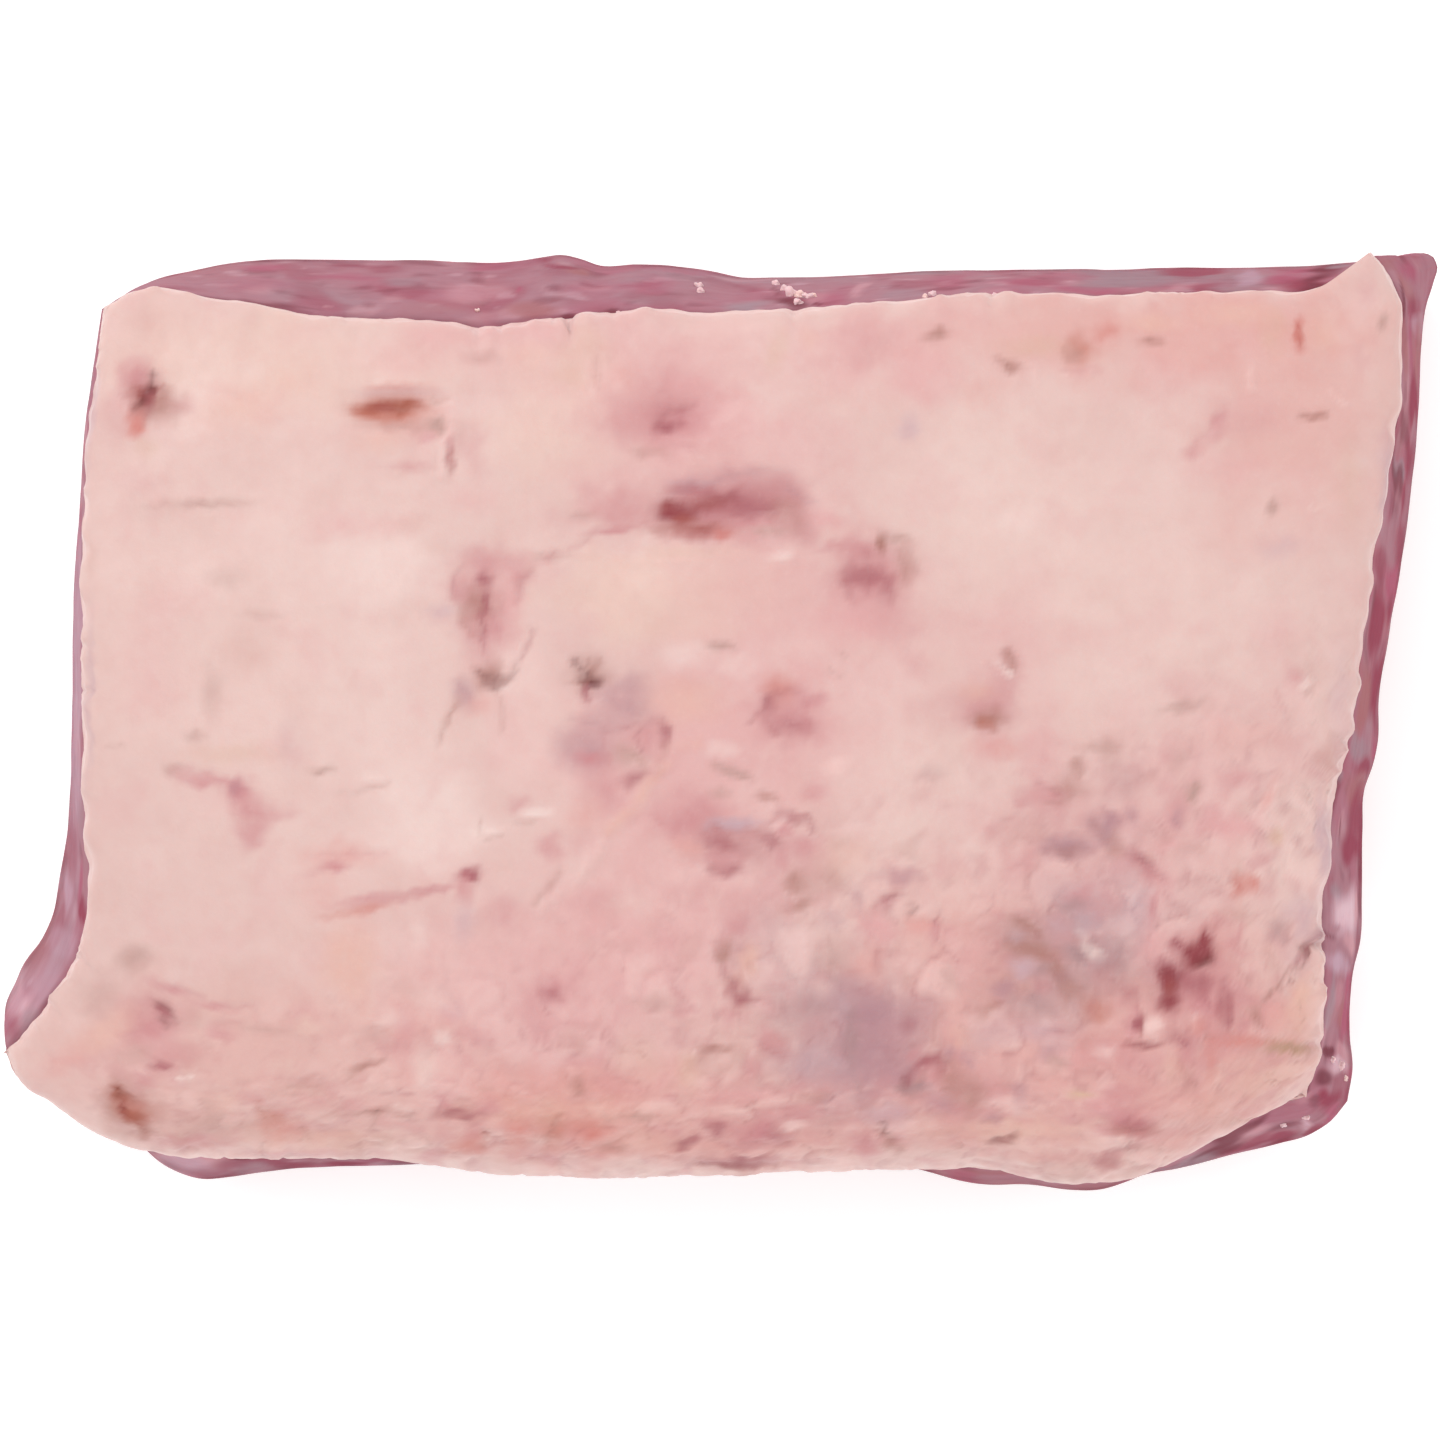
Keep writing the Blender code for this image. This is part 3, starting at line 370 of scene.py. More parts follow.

# Stains and openings with broken outlines, in the same form. Among them are painted highlights, the small
# ivory and pearl glints such as those at (70.2, -49.8), (60.2, -37.2), (-30, -15) and (-38.3, -17.8), and
# painted shade beside raised places, such as the rose at (-43.8, 43.5), the umber at (46.9, 9.7) and the
# rose at (92.8, 7.1).
STAINS_AND_PAINTED_LIGHT = (
    (-93.4, 65.8, 2.6, 4.2, 0, "buff", 0.5), (-94.2, 56.2, 3.9, 3.6, 0, "rose", 0.75),
    (-90.5, 51.3, 3.6, 3.1, 0, "umber", 0.65), (-87.4, 51.3, 2.6, 1.5, 0, "rose", 0.25),
    (-94.7, 48, 1.8, 2.6, 0, "coral", 0.8), (-93.9, 52.3, 1.5, 2.3, -25, "brick", 0.9),
    (-94.1, 51.8, 1, 1.6, -25, "clot", 0.9), (-92.8, 53.7, 1, 1, 0, "clot", 1),
    (-93.3, 43.8, 2, 2, 0, "straw", 0.3), (-78, 50.3, 6.8, 4.2, 0, "peach", 0.4),
    (-69.8, 55.2, 4.6, 3.6, 0, "peach", 0.25), (-52.8, 53.3, 7.2, 1.1, 0, "mauve", 0.35),
    (-51.6, 47.9, 7.8, 1.3, 0, "umber", 0.35), (-53.7, 50.6, 6.8, 2, 0, "amber", 1),
    (-53.9, 51, 4.2, 1.1, 2, "rust", 0.8), (-54.6, 50.8, 1.5, 0.8, 0, "brick", 0.8),
    (-57.6, 50, 2.4, 1, 0, "amber", 0.7), (-45.9, 48, 1.8, 1.5, 0, "taupe", 0.8),
    (-43.8, 43.5, 0.8, 3.9, 0, "rose", 0.6), (-50.6, 41.1, 4.2, 1, 0, "rose", 0.35),
    (-40.9, 44.6, 3.6, 3.3, 0, "rose", 0.3), (-46.3, 62.5, 5.5, 2.1, 0, "pink", 0.35),
    (-38.6, 59.1, 3.3, 1.5, 0, "umber", 0.3), (-94.2, 38.9, 4.9, 2.3, 0, "rose", 0.2),
    (-84.5, 35.2, 9.1, 1, 2, "taupe", 0.35), (-51.1, 32.1, 4.2, 1.6, 0, "buff", 0.3),
    (-46.1, 28.2, 3.3, 1.5, 0, "buff", 0.3), (-58.5, 31.6, 6.5, 2.3, 0, "pink", 0.3),
    (-40.6, 35.7, 4.9, 2.6, 0, "pink", 0.25), (-30, 63.3, 3.6, 1.3, 0, "pink", 0.3),
    (-23, 60.9, 5.5, 3.3, 0, "straw", 0.3), (-24, 56, 3.6, 2, 0, "straw", 0.3),
    (-31.6, 59.3, 3.9, 2.6, 0, "peach", 0.35), (1.7, 64.1, 8.1, 1.6, 0, "pearl", 0.3),
    (-16.2, 56, 4.2, 3.6, 0, "salmon", 0.3), (-8.9, 51.1, 10.1, 7.2, 0, "rose", 0.5),
    (-4.8, 54.4, 4.2, 2, 0, "pink", 0.5), (-7.7, 48.7, 5.5, 3.3, 10, "rose", 0.75),
    (-8.4, 47.7, 2.6, 1.1, 12, "wine", 0.8), (-11.3, 43.5, 3.3, 1.1, 0, "umber", 0.35),
    (-15.4, 47.1, 3.6, 3.6, 0, "rose", 0.3), (9, 60.1, 2.1, 4.2, 0, "straw", 0.3),
    (14.1, 62, 2, 2, 0, "peach", 0.35), (23.8, 60.9, 5.2, 4.6, 0, "rose", 0.3),
    (31.8, 55.5, 5.5, 4.9, 0, "pink", 0.4), (35.2, 62.7, 2.4, 1.1, 15, "umber", 0.65),
    (30.3, 47.7, 2.1, 2.3, 0, "lilac", 0.5), (3, 38.9, 10.7, 2.3, -4, "mauve", 0.2),
    (1.4, 34.7, 15.6, 5.5, 0, "rose", 0.7), (-16.8, 34.1, 7.2, 3.6, 0, "rose", 0.45),
    (-23, 33.4, 2.6, 1.1, 0, "taupe", 0.4), (-18.1, 30.8, 4.9, 0.8, 8, "rose", 0.55),
    (2.5, 34.7, 8.1, 2.6, 0, "wine", 0.65), (0.4, 35.9, 3.3, 1, 0, "wine", 0.6),
    (6.9, 34.1, 2.9, 1.3, 0, "wine", 0.6), (-4.8, 31, 7.2, 1.5, 0, "brick", 0.75),
    (-7.1, 33.3, 3.6, 1.5, 0, "blood", 1), (-6.1, 32.8, 2.1, 1, 0, "brick", 1),
    (0.4, 30.3, 2.1, 1, 0, "coral", 0.7), (4.6, 31.8, 4.6, 1, 5, "rose", 0.6),
    (11.1, 33.4, 3.6, 2.8, 0, "umber", 0.4), (7.9, 30.7, 4.2, 0.8, 0, "taupe", 0.5),
    (-3.2, 37.3, 5.5, 0.8, 0, "rose", 0.5), (-4.8, 38.6, 4.2, 0.8, 0, "lilac", 0.4),
    (-5.6, 27.4, 6.8, 1, 0, "straw", 0.3), (16.3, 35.7, 2.6, 2.6, 0, "pearl", 0.3),
    (24.8, 23, 7.5, 7.2, 0, "rose", 0.65), (23.8, 23.3, 4.2, 2, 0, "wine", 0.6),
    (27.1, 21.4, 1.8, 2.8, 0, "wine", 0.55), (21.2, 22.7, 1.1, 4.2, 0, "wine", 0.3),
    (26.1, 28.7, 1, 2.1, 0, "umber", 0.85), (28.7, 29.5, 2.4, 1, 0, "taupe", 0.5),
    (30.5, 25.6, 1.8, 3.6, 0, "umber", 0.35), (18.3, 28.2, 3.3, 1.1, 0, "rose", 0.4),
    (17.3, 32.8, 3.3, 1.8, 0, "pink", 0.5), (22.8, 27.9, 3.3, 2, 0, "rose", 0.5),
    (29.3, 15.4, 4.9, 3.6, 0, "rose", 0.3), (21.2, 16.2, 5.9, 3.3, -20, "pink", 0.5),
    (46.9, 58, 2.3, 1, -22, "umber", 0.7), (50.8, 60.7, 6.2, 1.8, 0, "straw", 0.35),
    (58.3, 60.7, 2.8, 2.9, 0, "amber", 0.5), (57, 59.6, 1.6, 1.6, 0, "umber", 0.4),
    (62.8, 63.2, 2.1, 1.5, 0, "coral", 0.5), (58.6, 56.7, 3.6, 1, 0, "rose", 0.3),
    (70, 61.5, 2.4, 0.7, -8, "umber", 0.6), (70, 64.6, 5.2, 1.6, 0, "peach", 0.5),
    (80.4, 47.7, 1.6, 3.1, -25, "rose", 0.55), (77, 43.8, 2.3, 1.3, 20, "rose", 0.4),
    (83.8, 65.8, 7.2, 2.1, 0, "peach", 0.5), (94.2, 62.8, 1, 3.1, 0, "coral", 1),
    (90.3, 63.3, 2.8, 4.4, 0, "straw", 0.3), (98, 63, 2.9, 3.6, 0, "peach", 0.4),
    (107.9, 64.6, 1, 1.6, 0, "taupe", 0.6), (96.2, 49.5, 2.4, 0.8, 4, "umber", 0.6),
    (84.6, 49, 7.8, 3.6, 0, "rose", 0.25), (89.5, 34.7, 1, 1.6, 0, "taupe", 0.6),
    (108.4, 38.1, 1.5, 9.8, 3, "lilac", 0.7), (90.5, 28.4, 3.6, 2.4, 0, "lilac", 0.35),
    (102.5, 38.9, 2.3, 8.1, 0, "straw", 0.2), (82.2, 40.6, 8.1, 3.3, 0, "pink", 0.3),
    (-76.3, 11.3, 5.5, 4.6, 0, "buff", 0.4), (-74.4, 17.2, 3.9, 1, 0, "taupe", 0.25),
    (-82.7, 4.8, 2, 4.6, 5, "taupe", 0.3), (-80.2, 23, 3.6, 2, 0, "taupe", 0.25),
    (-85.1, -2.5, 2.3, 1.1, 0, "taupe", 0.4), (-79.3, -5.3, 7.5, 2, 0, "straw", 0.3),
    (-92.6, 9.7, 6.5, 9.8, 0, "pink", 0.2), (-89.3, 19.4, 6.5, 4.9, 0, "pink", 0.2),
    (-69.8, -3.3, 2.6, 5.2, 0, "mauve", 0.15), (-102, 25.9, 1.3, 3.3, 0, "buff", 0.4),
    (-102.4, 48.7, 0.8, 9.8, -4, "lilac", 0.5), (-102.7, 3.2, 0.7, 14.6, 0, "lilac", 0.5),
    (-89, -8, 2, 1.1, 0, "taupe", 0.45), (-83.7, -9.8, 5.9, 1.5, -10, "rose", 0.65),
    (-77.8, -11.3, 2.9, 2.3, 0, "rose", 0.75), (-78.3, -10.8, 1.6, 1.3, 0, "mauve", 0.5),
    (-76, -15.5, 4.6, 3.9, -20, "rose", 0.65), (-76.5, -18.9, 2.3, 2.9, 0, "rose", 0.4),
    (-71.1, -14.7, 2.9, 2, 0, "rose", 0.35), (-64.6, -8, 2.6, 0.8, 0, "taupe", 0.45),
    (-61.7, -22, 7.5, 2.6, 0, "salmon", 0.5), (-62.7, -23.7, 2.8, 1, 0, "rose", 0.75),
    (-60.1, -39.4, 5.5, 7.8, 0, "peach", 0.6), (-56.5, -29, 7.8, 1.1, 7, "rose", 0.55),
    (-57.2, -30.3, 4.9, 0.7, 9, "coral", 0.4), (-47.1, -27.4, 3.9, 0.8, 8, "rose", 0.5),
    (-65, -27.7, 4.9, 4.2, 0, "salmon", 0.35), (-38, 25.9, 4.9, 2.9, 0, "rose", 0.5),
    (-38.6, 17, 5.2, 9.8, 6, "rose", 0.65), (-39.6, 18.5, 3.9, 3.6, 0, "umber", 0.6),
    (-38.6, 23, 1.8, 1.6, 0, "wine", 0.65), (-43, 21.1, 2.3, 2.6, 0, "rose", 0.5),
    (-38, 19.1, 0.7, 2.1, 0, "wine", 0.7), (-37.3, 7.7, 2.9, 2.6, 0, "umber", 0.65),
    (-36.5, 6.4, 1.8, 1.3, 30, "clot", 0.45), (-34.1, 19.4, 2.6, 5.9, 0, "pink", 0.55),
    (-41.4, 4.5, 2.3, 2.6, 0, "mauve", 0.5), (-39.3, 2.8, 2.9, 2, 0, "salmon", 0.5),
    (-32.4, 24.3, 2.6, 3.3, 30, "rose", 0.5), (-45.4, 17.5, 2, 1.6, 0, "lilac", 0.4),
    (-21.1, 7.4, 3.6, 3.3, 0, "umber", 0.4), (-21.2, 6.6, 2, 1.3, -20, "clot", 1),
    (-21.9, 4.8, 0.8, 2, 0, "wine", 0.6), (-16.2, 3.2, 5.5, 5.5, 0, "mauve", 0.5),
    (-21.4, -4, 5.9, 4.6, 0, "mauve", 0.55), (-5.6, 3.2, 7.5, 4.6, 0, "peach", 0.5),
    (-14.6, -5.8, 3.9, 2.1, 0, "taupe", 0.45), (-21.1, -5.9, 2.8, 1.3, 0, "rose", 0.75),
    (-11.6, -2.7, 3.3, 2.9, 0, "rose", 0.45), (-9, -2.5, 1, 2.4, 0, "wine", 0.6),
    (-13.7, -9.3, 2.9, 1.5, 18, "wine", 0.6), (-18.8, -10.8, 4.2, 5.5, 0, "rose", 0.4),
    (-0.2, 12, 2.8, 0.8, -4, "taupe", 0.7), (-21.9, -15.5, 3.9, 2.9, 0, "salmon", 0.4),
    (10.8, 0.6, 6.2, 4.9, 0, "rose", 0.55), (9.2, 5.1, 2.8, 2.9, 0, "coral", 0.45),
    (7.9, 2.5, 1.6, 2, -20, "wine", 0.45), (11.6, -1.2, 4.2, 2.4, 0, "wine", 0.45),
    (15, 3.2, 2.9, 1.3, 10, "rose", 0.5), (2, -8.5, 3.9, 0.8, -20, "taupe", 0.6),
    (0.1, -11.6, 2.3, 1.1, 0, "taupe", 0.45), (7.9, -12.4, 2.3, 1, -10, "umber", 0.5),
    (18.8, -7.4, 2.6, 1.6, 0, "pearl", 0.6), (15, -11.8, 2.6, 1.5, 0, "rose", 0.4),
    (34.2, -9, 2.6, 2, 0, "slate", 0.25), (-4.8, -15.5, 6.8, 3.9, 0, "rose", 0.65),
    (1.4, -19.9, 6.8, 3.6, 0, "wine", 0.5), (-0.6, -19.6, 2.9, 1.3, 0, "wine", 0.55),
    (0.7, -24.1, 2.9, 1.5, 0, "wine", 0.5), (2.8, -16.7, 4.2, 1, 0, "lilac", 0.9),
    (0.1, -22.4, 4.9, 1.6, 0, "rose", 0.4), (8.5, -19.3, 2.3, 1.6, -30, "wine", 0.45),
    (12, -16, 2.6, 1.1, 0, "wine", 0.5), (13.1, -20.4, 3.6, 2.3, 0, "rose", 0.5),
    (-27.6, -20.4, 2.6, 2.3, 0, "rose", 0.6), (12.3, -26.1, 2.9, 2.1, 0, "umber", 0.6),
    (12.6, -29.7, 3.3, 1.1, 20, "umber", 0.55), (18, -25.3, 4.2, 2.9, -40, "umber", 0.3),
    (29.3, -25.3, 3.9, 1.5, 0, "mauve", 0.5), (20.4, -22, 4.9, 3.6, 0, "peach", 0.35),
    (-5.6, -20.4, 3.3, 1.6, -30, "salmon", 0.5), (-30, -15, 2.6, 0.7, 0, "ivory", 0.8),
    (-38.3, -17.8, 2.8, 0.8, 0, "ivory", 0.8), (-32.8, -13.6, 2, 2, 0, "rose", 0.4),
    (-40.6, -25, 2.4, 1.3, 5, "wine", 1), (-41.7, -26.9, 2, 2.9, 0, "rose", 0.5),
    (-41.7, -32.6, 2, 3.6, 0, "lilac", 0.4), (-26.7, -43.7, 4.9, 3.6, 0, "rose", 0.55),
    (-27.2, -44, 2.3, 1.8, 0, "wine", 0.45), (-11.3, -45.8, 4.6, 1.5, 0, "taupe", 0.3),
    (-24.3, -48.9, 5.5, 1, 0, "rose", 0.25), (-35.7, -31, 3.9, 2.6, 0, "rose", 0.3),
    (-19.4, -29.3, 4.2, 2, 0, "rose", 0.2), (0.7, -37.5, 1.3, 2.3, -10, "umber", 0.5),
    (2, -43, 1, 2.3, -30, "wine", 0.5), (3.3, -45, 2.3, 1.5, 0, "wine", 0.6),
    (2.7, -33.6, 2.9, 2, 20, "rose", 0.45), (1.4, -48.2, 2.3, 2.3, 0, "rose", 0.5),
    (4.1, -39.4, 1.6, 3.6, -20, "peach", 0.5), (-0.6, -52.9, 2.9, 0.8, 0, "umber", 0.5),
    (8.2, -52.1, 3.3, 2.3, -30, "rose", 0.6), (5, -56, 2.6, 2.6, 0, "rose", 0.45),
    (5.8, -60.8, 4.9, 1, 0, "pink", 0.5), (11.6, -63.6, 4.3, 2, 0, "rose", 0.5),
    (-5.4, -56.7, 2.3, 3.6, 0, "straw", 0.4), (-12.9, -54.6, 3.6, 4.2, 0, "straw", 0.2),
    (-1.2, -60.8, 3, 3, 0, "rose", 0.2), (26.7, -30, 2.9, 1.5, 30, "wine", 0.5),
    (32, -33.4, 2.9, 2.1, 0, "salmon", 0.8), (34.6, -34.2, 1, 2.3, 0, "rose", 0.5),
    (25.3, -33.9, 3.3, 2.6, 0, "pink", 0.6), (24.1, -38.8, 2.9, 3.3, 0, "salmon", 0.6),
    (31, -39.4, 2.6, 1.5, 0, "pearl", 0.4), (18.3, -38.3, 3.6, 3.9, 0, "taupe", 0.35),
    (13.1, -35.9, 3.9, 2.6, 0, "pearl", 0.3), (11.5, -47.2, 4.9, 3.6, 0, "slate", 0.2),
    (16.3, -45.6, 3.9, 3.3, 0, "slate", 0.3), (24.1, -47.6, 4.2, 4.2, 0, "mauve", 0.7),
    (23.2, -54.1, 3.9, 5.9, 0, "mauve", 0.6), (15.5, -55.7, 6.8, 2.9, 0, "lavender", 0.6),
    (19.6, -45.9, 2.3, 4.2, 0, "lavender", 0.45), (21.7, -52.1, 1.1, 5.5, 0, "slate", 0.6),
    (28, -57.3, 4.2, 3.6, 0, "mauve", 0.6), (27, -64.1, 4.3, 2.3, 0, "lilac", 0.5),
    (30.2, -58.9, 1.3, 2.1, 10, "clot", 0.4), (32, -59.6, 2.6, 1.5, 0, "slate", 0.7),
    (33.4, -55.4, 2.9, 1.3, 25, "wine", 0.7), (35.5, -56.3, 1.1, 1.8, 0, "wine", 0.6),
    (37.6, -58, 2.3, 4.2, 0, "umber", 0.6), (30.7, -49.2, 1.5, 1.6, 0, "wine", 0.45),
    (39.1, -51.3, 2.9, 2, 0, "peach", 0.5), (19.8, -62.5, 3.3, 1.6, 0, "rose", 0.3),
    (39.1, -39.1, 3.9, 6.5, 0, "pink", 0.3), (29.3, -48, 6.5, 4.2, 0, "mauve", 0.25),
    (50.2, -37.2, 4.6, 1.5, -10, "umber", 0.7), (55, -41.5, 4.9, 1.5, -48, "umber", 0.6),
    (57.8, -37.5, 3.3, 1.6, 0, "slate", 0.8), (49.7, -33.3, 3.6, 1, -32, "umber", 0.45),
    (45.6, -43.7, 2.6, 1.8, 0, "mauve", 0.6), (44, -46.6, 2.6, 1.3, 30, "umber", 0.35),
    (48.9, -40.4, 2.6, 2, 0, "lilac", 0.7), (50.2, -46.3, 4.6, 2.6, 0, "slate", 0.65),
    (51.5, -50.5, 4.9, 2, 0, "lilac", 0.4), (63.8, -37.8, 3.6, 2.9, 0, "slate", 0.5),
    (59.6, -32.9, 2.4, 2.6, 0, "lavender", 0.7), (57.3, -30.2, 2.6, 1.1, 0, "slate", 0.6),
    (60.2, -37.2, 2.3, 1.1, -30, "ivory", 0.6), (61.2, -46.6, 2.6, 2.3, 0, "amber", 0.5),
    (58.5, -60.8, 2.6, 0.8, 0, "straw", 0.8), (53.7, -53.7, 2.6, 1.8, 20, "mauve", 0.6),
    (48.7, -60.8, 1.5, 2.6, 15, "mauve", 0.4), (40.8, -60.8, 2.6, 3.9, 0, "umber", 0.5),
    (67.6, -30.2, 3.3, 4.9, 0, "lilac", 0.4), (55.4, -41.5, 2, 1.3, 0, "mauve", 0.4),
    (57, -54.6, 2.9, 2.3, 0, "pink", 0.4), (43.2, 1.9, 5.5, 5.9, 0, "rose", 0.6),
    (43.3, 0.1, 3.1, 2.1, 0, "umber", 1), (43.2, -0.4, 2, 1.3, 0, "amber", 0.5),
    (44, -4.5, 4.6, 1.8, 0, "salmon", 0.6), (46.9, 7.1, 2.9, 5.2, 0, "rose", 0.35),
    (41.5, 4.8, 3.6, 2, 0, "peach", 0.4), (46.9, 9.7, 1, 2.4, 30, "umber", 0.55),
    (52.1, -3.3, 3.9, 9.8, 0, "pink", 0.3), (57.5, -7.6, 1.5, 1.6, -30, "umber", 0.4),
    (53.7, -12.3, 3.9, 2.3, 0, "rose", 0.5), (56.2, -10.8, 3.3, 2, 0, "umber", 0.35),
    (49.2, -12.3, 2.6, 1.3, 0, "rose", 0.35), (61.9, -4.3, 3.3, 1.1, 0, "taupe", 0.5),
    (65.1, -9.8, 4.2, 4.6, 0, "slate", 0.25), (74.1, -6.6, 2.1, 2, 0, "taupe", 0.3),
    (76.8, -11.5, 1.3, 2, -30, "taupe", 0.7), (74.2, -15.9, 1.3, 2, 0, "mauve", 0.5),
    (56.2, -20.6, 4.6, 2.1, 0, "mauve", 0.9), (56.3, -21.2, 3.3, 1.3, 0, "umber", 0.4),
    (61.9, -17.3, 2.9, 2.9, -30, "mauve", 0.7), (63.8, -20.4, 2, 2, 0, "umber", 0.4),
    (66.7, -15.5, 1.1, 1.5, 0, "mauve", 0.6), (67.7, -22.2, 2.9, 1.5, -35, "wine", 0.55),
    (70, -24.5, 3.3, 2, -40, "rose", 0.5), (72.4, -20.4, 2.6, 1.6, 0, "pink", 0.5),
    (75.7, 2.4, 4.2, 1.1, 12, "taupe", 0.4), (84.6, -2.5, 8.1, 2.9, 0, "salmon", 0.3),
    (83.3, -17.3, 5.9, 2.8, 0, "pink", 0.7), (90.3, -18.9, 1.5, 1.6, 0, "straw", 0.6),
    (92.4, -23.2, 3.3, 2.3, 0, "cream", 0.5), (92.8, 7.1, 2, 2.3, 0, "rose", 0.4),
    (98, -19.6, 1.3, 7.2, 0, "lilac", 0.8), (99.3, -18, 0.5, 3.3, 0, "mauve", 0.6),
    (88.7, -12.3, 1, 2.9, -20, "salmon", 0.5), (100.9, 3.2, 2, 9.8, 0, "lilac", 0.25),
    (89.5, 12.9, 4.9, 6.5, 0, "pink", 0.25), (75.7, -41.5, 8.5, 8.1, 0, "rose", 0.6),
    (75.4, -41.5, 4.9, 4.2, 0, "wine", 0.55), (77.8, -38, 2.8, 1.6, 10, "blood", 1),
    (78.3, -38.8, 1.6, 1.3, 0, "clot", 0.75), (78.6, -35.4, 0.8, 1.8, -10, "blood", 0.8),
    (76.2, -37.2, 1.5, 1, 30, "blood", 0.9), (74.2, -36.3, 1.5, 1.3, -40, "wine", 0.6),
    (72.6, -41.5, 2.1, 3.3, 0, "blood", 0.95), (73.1, -45.8, 1.8, 1.8, 0, "blood", 0.9),
    (71.6, -39.1, 1.6, 1.3, 0, "wine", 0.5), (78.1, -43, 2.1, 2, 0, "wine", 0.55),
    (82.4, -47.6, 1, 3.6, 3, "wine", 0.6), (77, -49.2, 1.1, 1.8, 0, "pearl", 0.8),
    (77.5, -46.3, 2, 1.1, 0, "rose", 0.6), (67.9, -49, 1, 2.1, 0, "blood", 0.75),
    (70.2, -49.8, 1.6, 2, 0, "pearl", 1), (68.5, -52.6, 3.3, 0.6, 0, "blood", 0.6),
    (66.7, -50.5, 1, 1.6, 0, "pink", 0.8), (74.6, -51.5, 2.6, 1.5, -30, "wine", 0.4),
    (66.4, -44.5, 1.6, 2.3, 20, "wine", 0.35), (84.6, -26.9, 1.3, 2.6, -30, "coral", 0.6),
    (86.6, -26.7, 1.1, 1.6, 20, "coral", 0.6), (70.3, -30.2, 0.7, 3.3, -10, "rose", 0.55),
    (72, -26.9, 2, 3.9, 0, "pink", 0.4), (87.2, -48.2, 1.1, 1.8, 30, "umber", 0.65),
    (85.6, -51.5, 2.9, 1, 10, "coral", 0.6), (70, -35.9, 2.3, 3.3, 0, "pink", 0.5),
    (98, -34.6, 2.9, 1.5, 20, "mauve", 0.9), (90.3, -34.2, 1.3, 2.6, -30, "slate", 0.45),
    (94.4, -31, 3.3, 3.3, 0, "lilac", 0.5), (94.4, -39.9, 2.6, 4.9, 30, "lilac", 0.3),
    (95, -45.9, 3.9, 7.2, -25, "peach", 0.9), (97.3, -43.2, 1.6, 6.5, 0, "pearl", 0.4),
    (90.3, -47.9, 2.4, 2.3, 0, "salmon", 0.8), (86.6, -52.4, 8.1, 0.8, 0, "coral", 0.5),
    (92.8, -53.4, 4.9, 0.8, 0, "olive", 0.9), (83, -54.7, 4.2, 2, 0, "salmon", 0.5),
    (73.6, -55.7, 2, 3.3, 0, "peach", 0.5), (89.5, -57.8, 8.1, 2.9, 15, "peach", 0.5),
    (78.9, -62.5, 3.3, 2, 0, "peach", 0.4), (67.4, -66.4, 3.6, 1.5, 0, "brick", 0.75),
    (66.1, -64.4, 5.6, 3.3, 0, "rose", 0.9), (62.5, -63.1, 2.6, 2, 0, "pink", 0.5),
    (46.4, -68.2, 2.5, 0.8, 18, "wine", 0.75), (54.6, -64.9, 5.6, 2, 0, "rose", 0.35),
    (62.8, -71.7, 2.6, 1.5, 0, "wine", 0.55), (75.6, -68.2, 6.6, 1.6, 10, "salmon", 0.5),
    (52.6, -70.7, 9.9, 1.1, 0, "salmon", 0.4), (39.5, -66.6, 4.9, 2, 0, "rose", 0.35),
    (-23.3, -59.6, 2.3, 1.8, -20, "umber", 0.75), (-27.5, -65.8, 2.3, 3.6, 0, "amber", 0.7),
    (-21.6, -66.7, 4.3, 3, 0, "coral", 0.65), (-13.1, -64.3, 2, 1, 0, "taupe", 0.6),
    (-17.7, -69, 3.3, 1, 0, "umber", 0.4), (-32.8, -66.1, 3, 4.3, 0, "coral", 0.65),
    (-4.8, -69, 19.7, 2.3, 0, "salmon", 0.5), (-64, -68.2, 14.8, 2.6, 0, "peach", 0.5),
    (-0.6, -65.9, 2, 1.3, 0, "wine", 0.6), (6, -66.7, 5.6, 3, 0, "rose", 0.75),
    (9.3, -67.6, 3, 2, 0, "wine", 0.5), (-5.5, -68.6, 3.3, 1, 14, "wine", 0.65),
    (2.5, -71.8, 9.2, 1.3, 0, "wine", 0.6), (-0.7, -69.4, 4.3, 1, 0, "salmon", 0.6),
    (2.5, -72.7, 6.6, 0.7, 0, "blood", 0.5), (12.1, -65.6, 1.8, 1, 0, "pearl", 0.8),
    (28, -68.7, 1.5, 2.3, 30, "umber", 0.5), (-12.2, -68.2, 6.6, 2.3, 0, "peach", 0.4),
    (29.6, -68.2, 3.3, 2.3, 0, "rose", 0.3), (23.1, -69, 2.6, 2.3, 0, "rose", 0.55),
    (47.7, -66.6, 14.8, 2.6, 0, "peach", 0.6), (75.6, -62.5, 11.5, 3.9, 0, "salmon", 0.5),
    (-26.2, -63.3, 18.1, 3, 0, "peach", 0.5), (-19.4, -59.4, 9.8, 3.3, 0, "salmon", 0.3),
    (-95.9, -39.1, 3.6, 2.8, 0, "taupe", 0.6), (-92.3, -49.2, 5.9, 5.2, -20, "rose", 0.6),
    (-91, -47.2, 2.6, 0.8, -45, "wine", 0.65), (-91.8, -56.3, 2.3, 0.8, 0, "wine", 0.65),
    (-88.5, -54.6, 5.5, 2.3, 0, "rose", 0.4), (-90, -43.5, 4.2, 1, -20, "rose", 0.5),
    (-81.2, -51.1, 2.9, 1, 0, "rose", 0.5), (-82.5, -46.6, 4.2, 0.7, -8, "rose", 0.5),
    (-74.4, -50.2, 6.5, 0.8, -8, "taupe", 0.3), (-96.5, -63.3, 5.6, 4.3, 0, "umber", 0.8),
    (-98.8, -61.3, 1.5, 1.6, 0, "rust", 0.95), (-96.1, -63.8, 3.3, 2.3, 0, "amber", 0.6),
    (-95.8, -65.3, 2, 1.6, 0, "rust", 0.9), (-97.8, -63.5, 0.8, 2.1, 0, "brick", 0.7),
